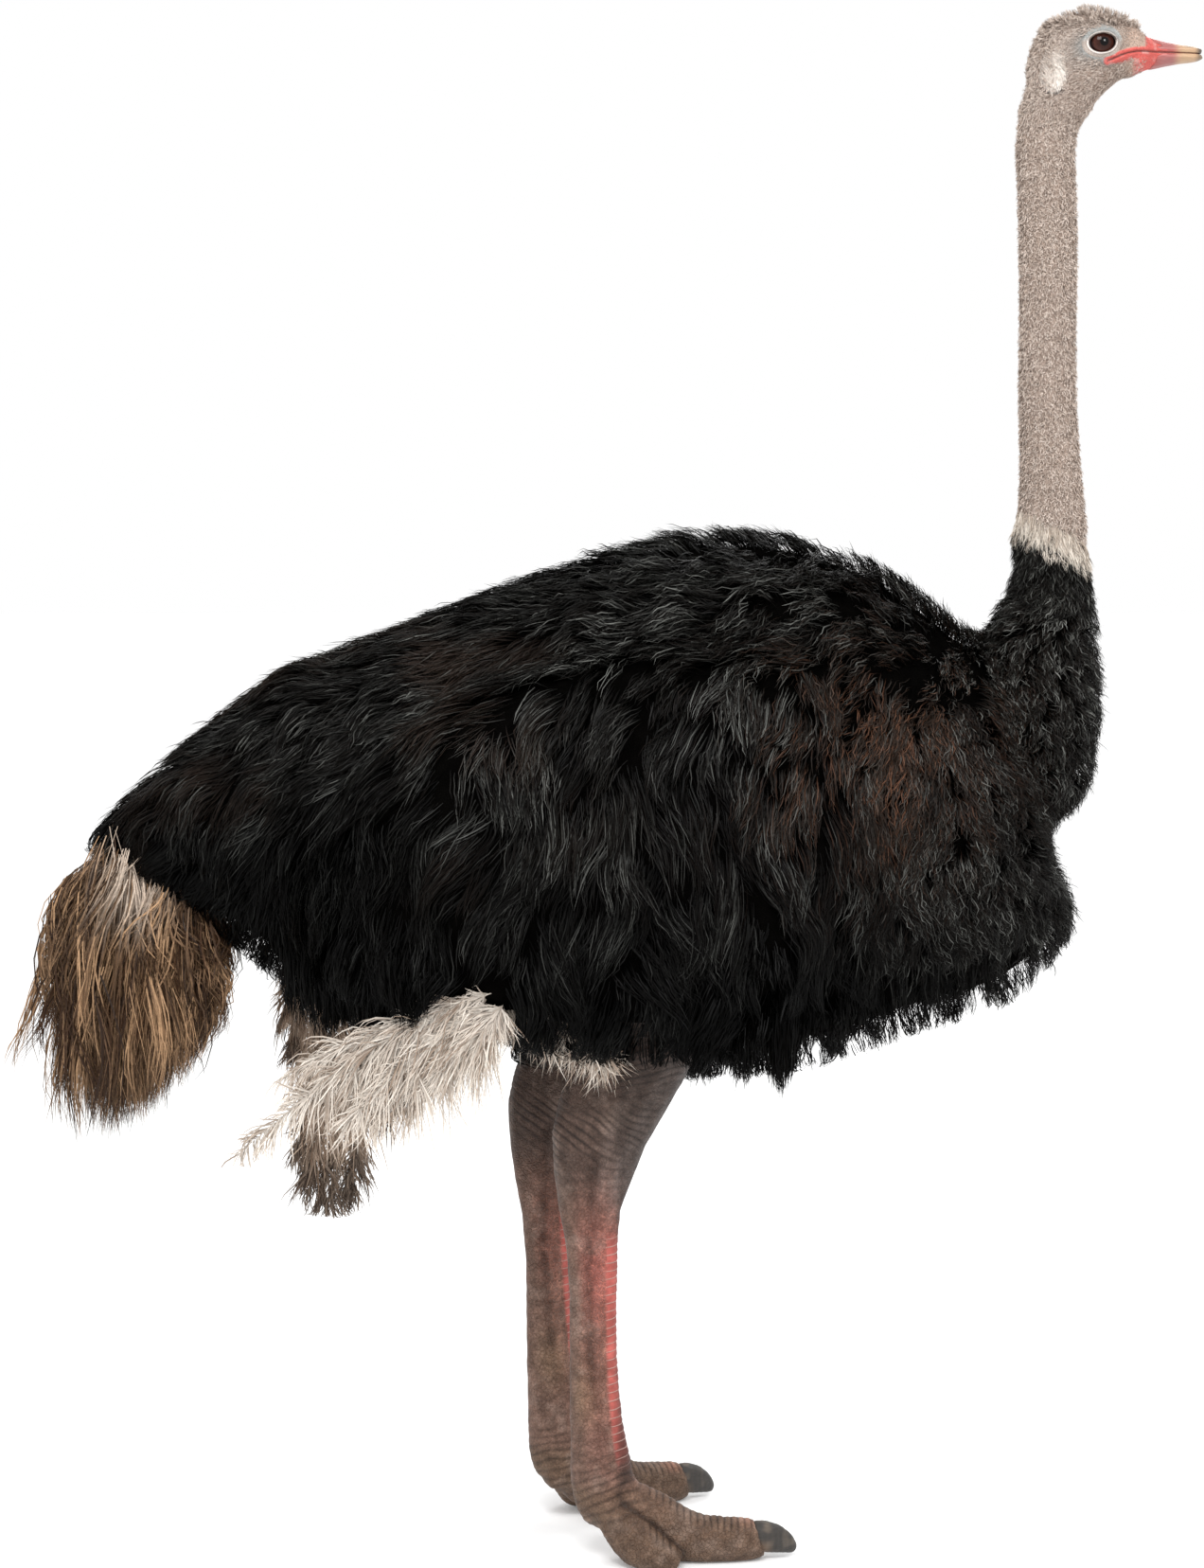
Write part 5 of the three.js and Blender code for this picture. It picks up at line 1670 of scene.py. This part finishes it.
# each quill is given by its root, a point it bends past and its tip, as shares of the node's box
QUILLS = {
    "right": [
        (1.00, 1.10, 0.62, 0.96, 0.02, 0.06), (1.00, 1.08, 0.64, 0.93, 0.22, 0.58),
        (1.00, 1.06, 0.68, 0.88, 0.30, 0.36), (1.01, 1.02, 0.74, 0.84, 0.42, 0.22),
        (1.02, 1.00, 0.80, 0.82, 0.54, 0.26), (1.02, 0.98, 0.86, 0.82, 0.65, 0.38),
        (1.03, 0.94, 0.93, 0.84, 0.76, 0.54), (1.04, 0.92, 1.00, 0.88, 0.88, 0.74),
        (0.96, 1.04, 0.70, 0.92, 0.34, 0.66), (0.92, 1.00, 0.66, 0.84, 0.40, 0.48),
        (1.00, 0.96, 0.84, 0.76, 0.58, 0.38), (1.04, 1.02, 1.00, 0.94, 0.94, 0.84),
    ],
    "left": [
        (0.34, 0.95, 0.22, 0.50, 0.14, 0.08), (0.42, 0.96, 0.34, 0.50, 0.24, 0.05),
        (0.50, 0.95, 0.44, 0.50, 0.33, 0.07), (0.26, 0.97, 0.14, 0.60, 0.09, 0.22),
        (0.20, 0.99, 0.08, 0.80, 0.06, 0.56), (0.55, 0.92, 0.56, 0.60, 0.50, 0.36),
        (0.48, 0.90, 0.42, 0.46, 0.36, 0.10), (0.38, 0.94, 0.28, 0.44, 0.20, 0.04),
        (0.60, 0.90, 0.66, 0.64, 0.64, 0.44), (0.24, 0.96, 0.18, 0.52, 0.12, 0.14),
        (0.16, 0.99, 0.05, 0.88, 0.03, 0.70),
    ],
}


def quill_points(ends, low, high, u, swing):
    """Points of a quill at the shares u of its length."""
    size = high - low
    a, b, c = (np.array([low[0] + size[0] * x, swing, low[2] + size[2] * z]) for x, z in ends)
    u = u[:, None]
    return a * (1 - u) ** 2 + 2 * b * u * (1 - u) + c * u * u


def wing_plumes(side_name, side, count, barb, spread, droop, colours, tip_from, rng):
    """The fan of quills below one wing, as one piece, with this count of barbs on each half."""
    name = f"wing_plumes_{side_name}"
    low, high = (np.array(v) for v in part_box(name))
    paths, flats, widths, shades, places = [], [], [], [], []
    for number, row in enumerate(QUILLS[side_name]):
        ends = np.array(row).reshape(3, 2)
        swing = low[1] + (high[1] - low[1]) * (0.2 + 0.6 * ((number * 0.37) % 1))
        for half in (-1, 1):
            u = np.sort(rng.uniform(0.02, 1.0, count))
            root = quill_points(ends, low, high, u, swing)
            run = unit(quill_points(ends, low, high, u + 0.02, swing) - root)
            square = np.stack([-run[:, 2], 0 * u, run[:, 0]], -1) * half
            bunch_of = (u * QUILL_BUNCHES).astype(int)
            own = rng.normal(0, 1, (QUILL_BUNCHES + 1, 4))[bunch_of]
            lean = (rng.uniform(*spread, count) + 0.16 * own[:, 0])[:, None]
            head_off = unit(run * np.cos(lean) + square * np.sin(lean))
            taper = (0.55 + 0.45 * np.sin(math.pi * np.clip(u, 0, 0.85))) * ramp(u, 1.45, 0.85)
            clump = 1 + 0.3 * np.sin(u * 45 + number * 2.1 + half)
            length = barb * taper * clump * rng.uniform(0.65, 1.2, count) * (1 + 0.16 * own[:, 1])
            s = np.linspace(0, 1, BARB_STEPS)[None, :, None]
            fall = np.array([0, 0, -1.0])
            stray = (rng.normal(0, 0.10, (count, 3)) + 0.16 * own[:, 1:])[:, None]
            path = root[:, None] + length[:, None, None] * (
                head_off[:, None] * (s - 0.25 * s * s) + fall * droop * s * s + stray * s
            )
            middle = (bunch_of + 0.5) / QUILL_BUNCHES
            path = path + (run * (middle - u)[:, None] * barb * 2.2)[:, None] * s
            wave = rng.uniform(0, 6.28, (count, 1, 1)) + s * rng.uniform(2, 6, (count, 1, 1))
            path = path + np.array([0, side, 0]) * 0.006 * (np.sin(wave) * s)
            path = path + np.cross(head_off, [0, 1.0, 0])[:, None] * 0.006 * np.cos(wave) * s
            flat = np.cross(unit(np.gradient(path, axis=1)), [0, 1.0, 0])
            tone = rng.normal(0.66, 0.30, count) + 0.26 * own[:, 2] + 0.2 * np.sin(number * 2.4)
            tone = np.clip(tone, 0, 1)
            # painted shade: barbs darker near the shaft, between the overlapping quills, and lighter at their
            # tips
            root_shade = np.linspace(0.62, 1.05, BARB_STEPS)[None, :, None]
            shade = tinted(colours[1], (colours[0], tone))[:, None] * root_shade
            dark = ramp(u, tip_from, tip_from + 0.12)[:, None] * rng.uniform(0.5, 1, (count, 1))
            shade = laid_over(shade, colours[2], dark[..., None])
            paths.append(path)
            flats.append(flat)
            widths.append(rng.uniform(0.0011, 0.0023, count)[:, None] * [0.8, 1.0, 0.9, 0.65, 0.0])
            shades.append(shade)
            places.append(np.stack([number + 0.1 * half * u, u * 4], -1))
        u = np.linspace(0, 1, BARB_STEPS)
        for turned in ([1.0, 0, 1.0], [0, 1.0, 0]):
            shaft = quill_points(ends, low, high, u, swing)[None]
            paths.append(shaft)
            flats.append(np.repeat(unit(np.array(turned))[None, None], BARB_STEPS, 1))
            widths.append(np.array([[0.0030, 0.0026, 0.0020, 0.0013, 0.0]]))
            shades.append(np.tile(np.array(colours[0]) * 0.9, (1, BARB_STEPS, 1)))
            places.append(np.array([[number + 0.6, 2.0]]))
    joined_up = [np.concatenate(group) for group in (paths, flats, widths, shades, places)]
    joined_up[0][..., 1] = np.clip(joined_up[0][..., 1], low[1] - 0.012, high[1] + 0.012)
    joined_up[0][..., 2] = np.maximum(joined_up[0][..., 2], low[2] - 0.004)
    piece = barb_mesh(f"plume_fan_{side_name}", *joined_up, white_barbs)
    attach(piece, "root")
    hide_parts(name)
    return piece


rng = np.random.default_rng(80)
whites = (WHITE_CREAM, WHITE_SHADE, WHITE_SHADE)
fan = wing_plumes("right", -1, 215, 0.062, (0.22, 0.75), 0.42, whites, 2.0, rng)
browns = (FAR_TAN, FAR_BROWN, FAR_DARK)
fan = wing_plumes("left", 1, 250, 0.056, (0.20, 0.65), 0.35, browns, 0.74, rng)


# ---------------------------------------------------------------------------------------------
# Thigh fluff: short white feathers that show as a ragged edge where the bare thighs come out
# from under the black coat.
FLUFF_BARBS = 3400
FLUFF_CORNER = (-0.142, -0.190, 0.800)
FLUFF_SPAN = (0.178, 0.135, -0.080)

rng = np.random.default_rng(90)
tufts = rng.random((150, 2))
which = rng.integers(0, len(tufts), FLUFF_BARBS)
along = np.clip(tufts[which, 0] + rng.normal(0, 0.018, FLUFF_BARBS), 0, 1)
roots = FLUFF_CORNER + np.stack([along, tufts[which, 1], along], -1) * FLUFF_SPAN
roots[:, 1] += rng.normal(0, 0.006, FLUFF_BARBS)
roots[:, 2] += rng.normal(0, 0.008, FLUFF_BARBS)
count = FLUFF_BARBS
lean = rng.normal(0, 0.34, (len(tufts), 3)) + (0.10, 0, -1.0)
way = lean[which] + rng.normal(0, 0.18, (count, 3))
length = rng.uniform(0.030, 0.062, len(tufts))[which] * rng.uniform(0.6, 1.15, count)
s = np.linspace(0, 1, BARB_STEPS)[None, :, None]
path = roots[:, None] + length[:, None, None] * unit(way)[:, None] * s
path = path + rng.normal(0, 0.010, (count, 1, 3)) * s * s
flat = turned_blades(*strand_frame(path), 0.8, rng)
widths = rng.uniform(0.0012, 0.0024, count)[:, None] * [0.8, 1.0, 0.9, 0.6, 0.0]
shade = tinted(WHITE_SHADE, (WHITE_CREAM, rng.random(count)))[:, None] * np.ones((1, BARB_STEPS, 1))
fluff = barb_mesh("thigh_fluff", path, flat, widths, shade, round_body(roots), white_barbs)
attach(fluff, "root")


# ---------------------------------------------------------------------------------------------
# Hanging tufts: matted black locks that dangle below the line of the belly and, behind the
# thighs, from under the end of the wing. Small tufts along HEM, a line of x, z under the breast,
# make the edge there ragged.

# each row is one tuft: x, y, the level it leaves from, its half width along and across the bird,
# how far it hangs, and its locks
HANGING_TUFTS = [
    (0.150, -0.165, 0.775, 0.022, 0.022, 0.102, 14),
    (0.197, -0.165, 0.775, 0.022, 0.022, 0.108, 14),
    (0.250, -0.170, 0.775, 0.026, 0.024, 0.118, 20),
    (0.100, -0.150, 0.765, 0.026, 0.022, 0.075, 12),
    (-0.310, -0.150, 0.830, 0.050, 0.030, 0.105, 30),
    (-0.370, -0.130, 0.840, 0.040, 0.030, 0.118, 30),
    (-0.415, -0.110, 0.850, 0.020, 0.022, 0.105, 14),
    (-0.250, -0.222, 0.845, 0.034, 0.014, 0.088, 22),
]
TUFT_PER_LOCK = 13
HEM = [
    (0.07, 0.712), (0.20, 0.695), (0.30, 0.724), (0.36, 0.725),
    (0.42, 0.750), (0.48, 0.766), (0.55, 0.802), (0.62, 0.842),
]
HEM_TUFTS = 135
BELLY_X = 0.25
BELLY_HALF = 0.42

rng = np.random.default_rng(95)
tufts = list(HANGING_TUFTS)
for x in rng.uniform(HEM[0][0], HEM[-1][0], HEM_TUFTS):
    y = rng.uniform(-0.17, 0.13) * math.sqrt(1 - ((x - BELLY_X) / BELLY_HALF) ** 2)
    drop = rng.uniform(0.04, 0.09)
    level = np.interp(x, *np.array(HEM).T) + drop + rng.normal(0.002, 0.006)
    tufts.append((x, y, level, rng.uniform(0.014, 0.032), 0.014, drop, 4))
paths, tones = [], []
steps = len(BARB_FORM)
for x, y, level, half_x, half_y, drop, locks in tufts:
    across = rng.uniform(-1, 1, (locks, 2))
    which = np.repeat(np.arange(locks), TUFT_PER_LOCK)
    count = len(which)
    place = across[which] + rng.normal(0, 0.20, (count, 2))
    reach = drop * (1 - 0.30 * place[:, 0] ** 2) * rng.uniform(0.85, 1.08, locks)[which]
    begin = rng.uniform(-0.35, 0.45, count)[:, None]
    u = begin + (1 - begin) * rng.uniform(0.75, 1.0, count)[:, None] * np.linspace(0, 1, steps)
    close = 1 - 0.28 * np.clip(u, 0, 1) ** 2
    path = np.stack([
        x + half_x * place[:, :1] * close,
        y + half_y * place[:, 1:] * close,
        level - reach[:, None] * u,
    ], -1)
    side, out = strand_frame(path)
    c1, c2 = curl_of(count, steps, 0.05 + 0 * reach, rng.uniform(0.001, 0.006, count), rng, (0.03, 0.08))
    paths.append(path + side * c1[..., None] + out * c2[..., None])
    tones.append(0.85 * rng.random(count))
path = np.concatenate(paths)
tone = np.concatenate(tones)
count = len(path)
flat = turned_blades(*strand_frame(path), 0.8, rng)
widths = BARB_WIDTH * rng.uniform(0.6, 1.2, count)[:, None] * BARB_FORM
# painted shade: the locks hanging under the body are darkened to a third
shade = body_tints(path[:, 0], steps, tone, rng) * 0.3
hanging = barb_mesh("hanging_tufts", path, flat, widths, shade, round_body(path[:, 0]), black_barbs)
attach(hanging, "root")
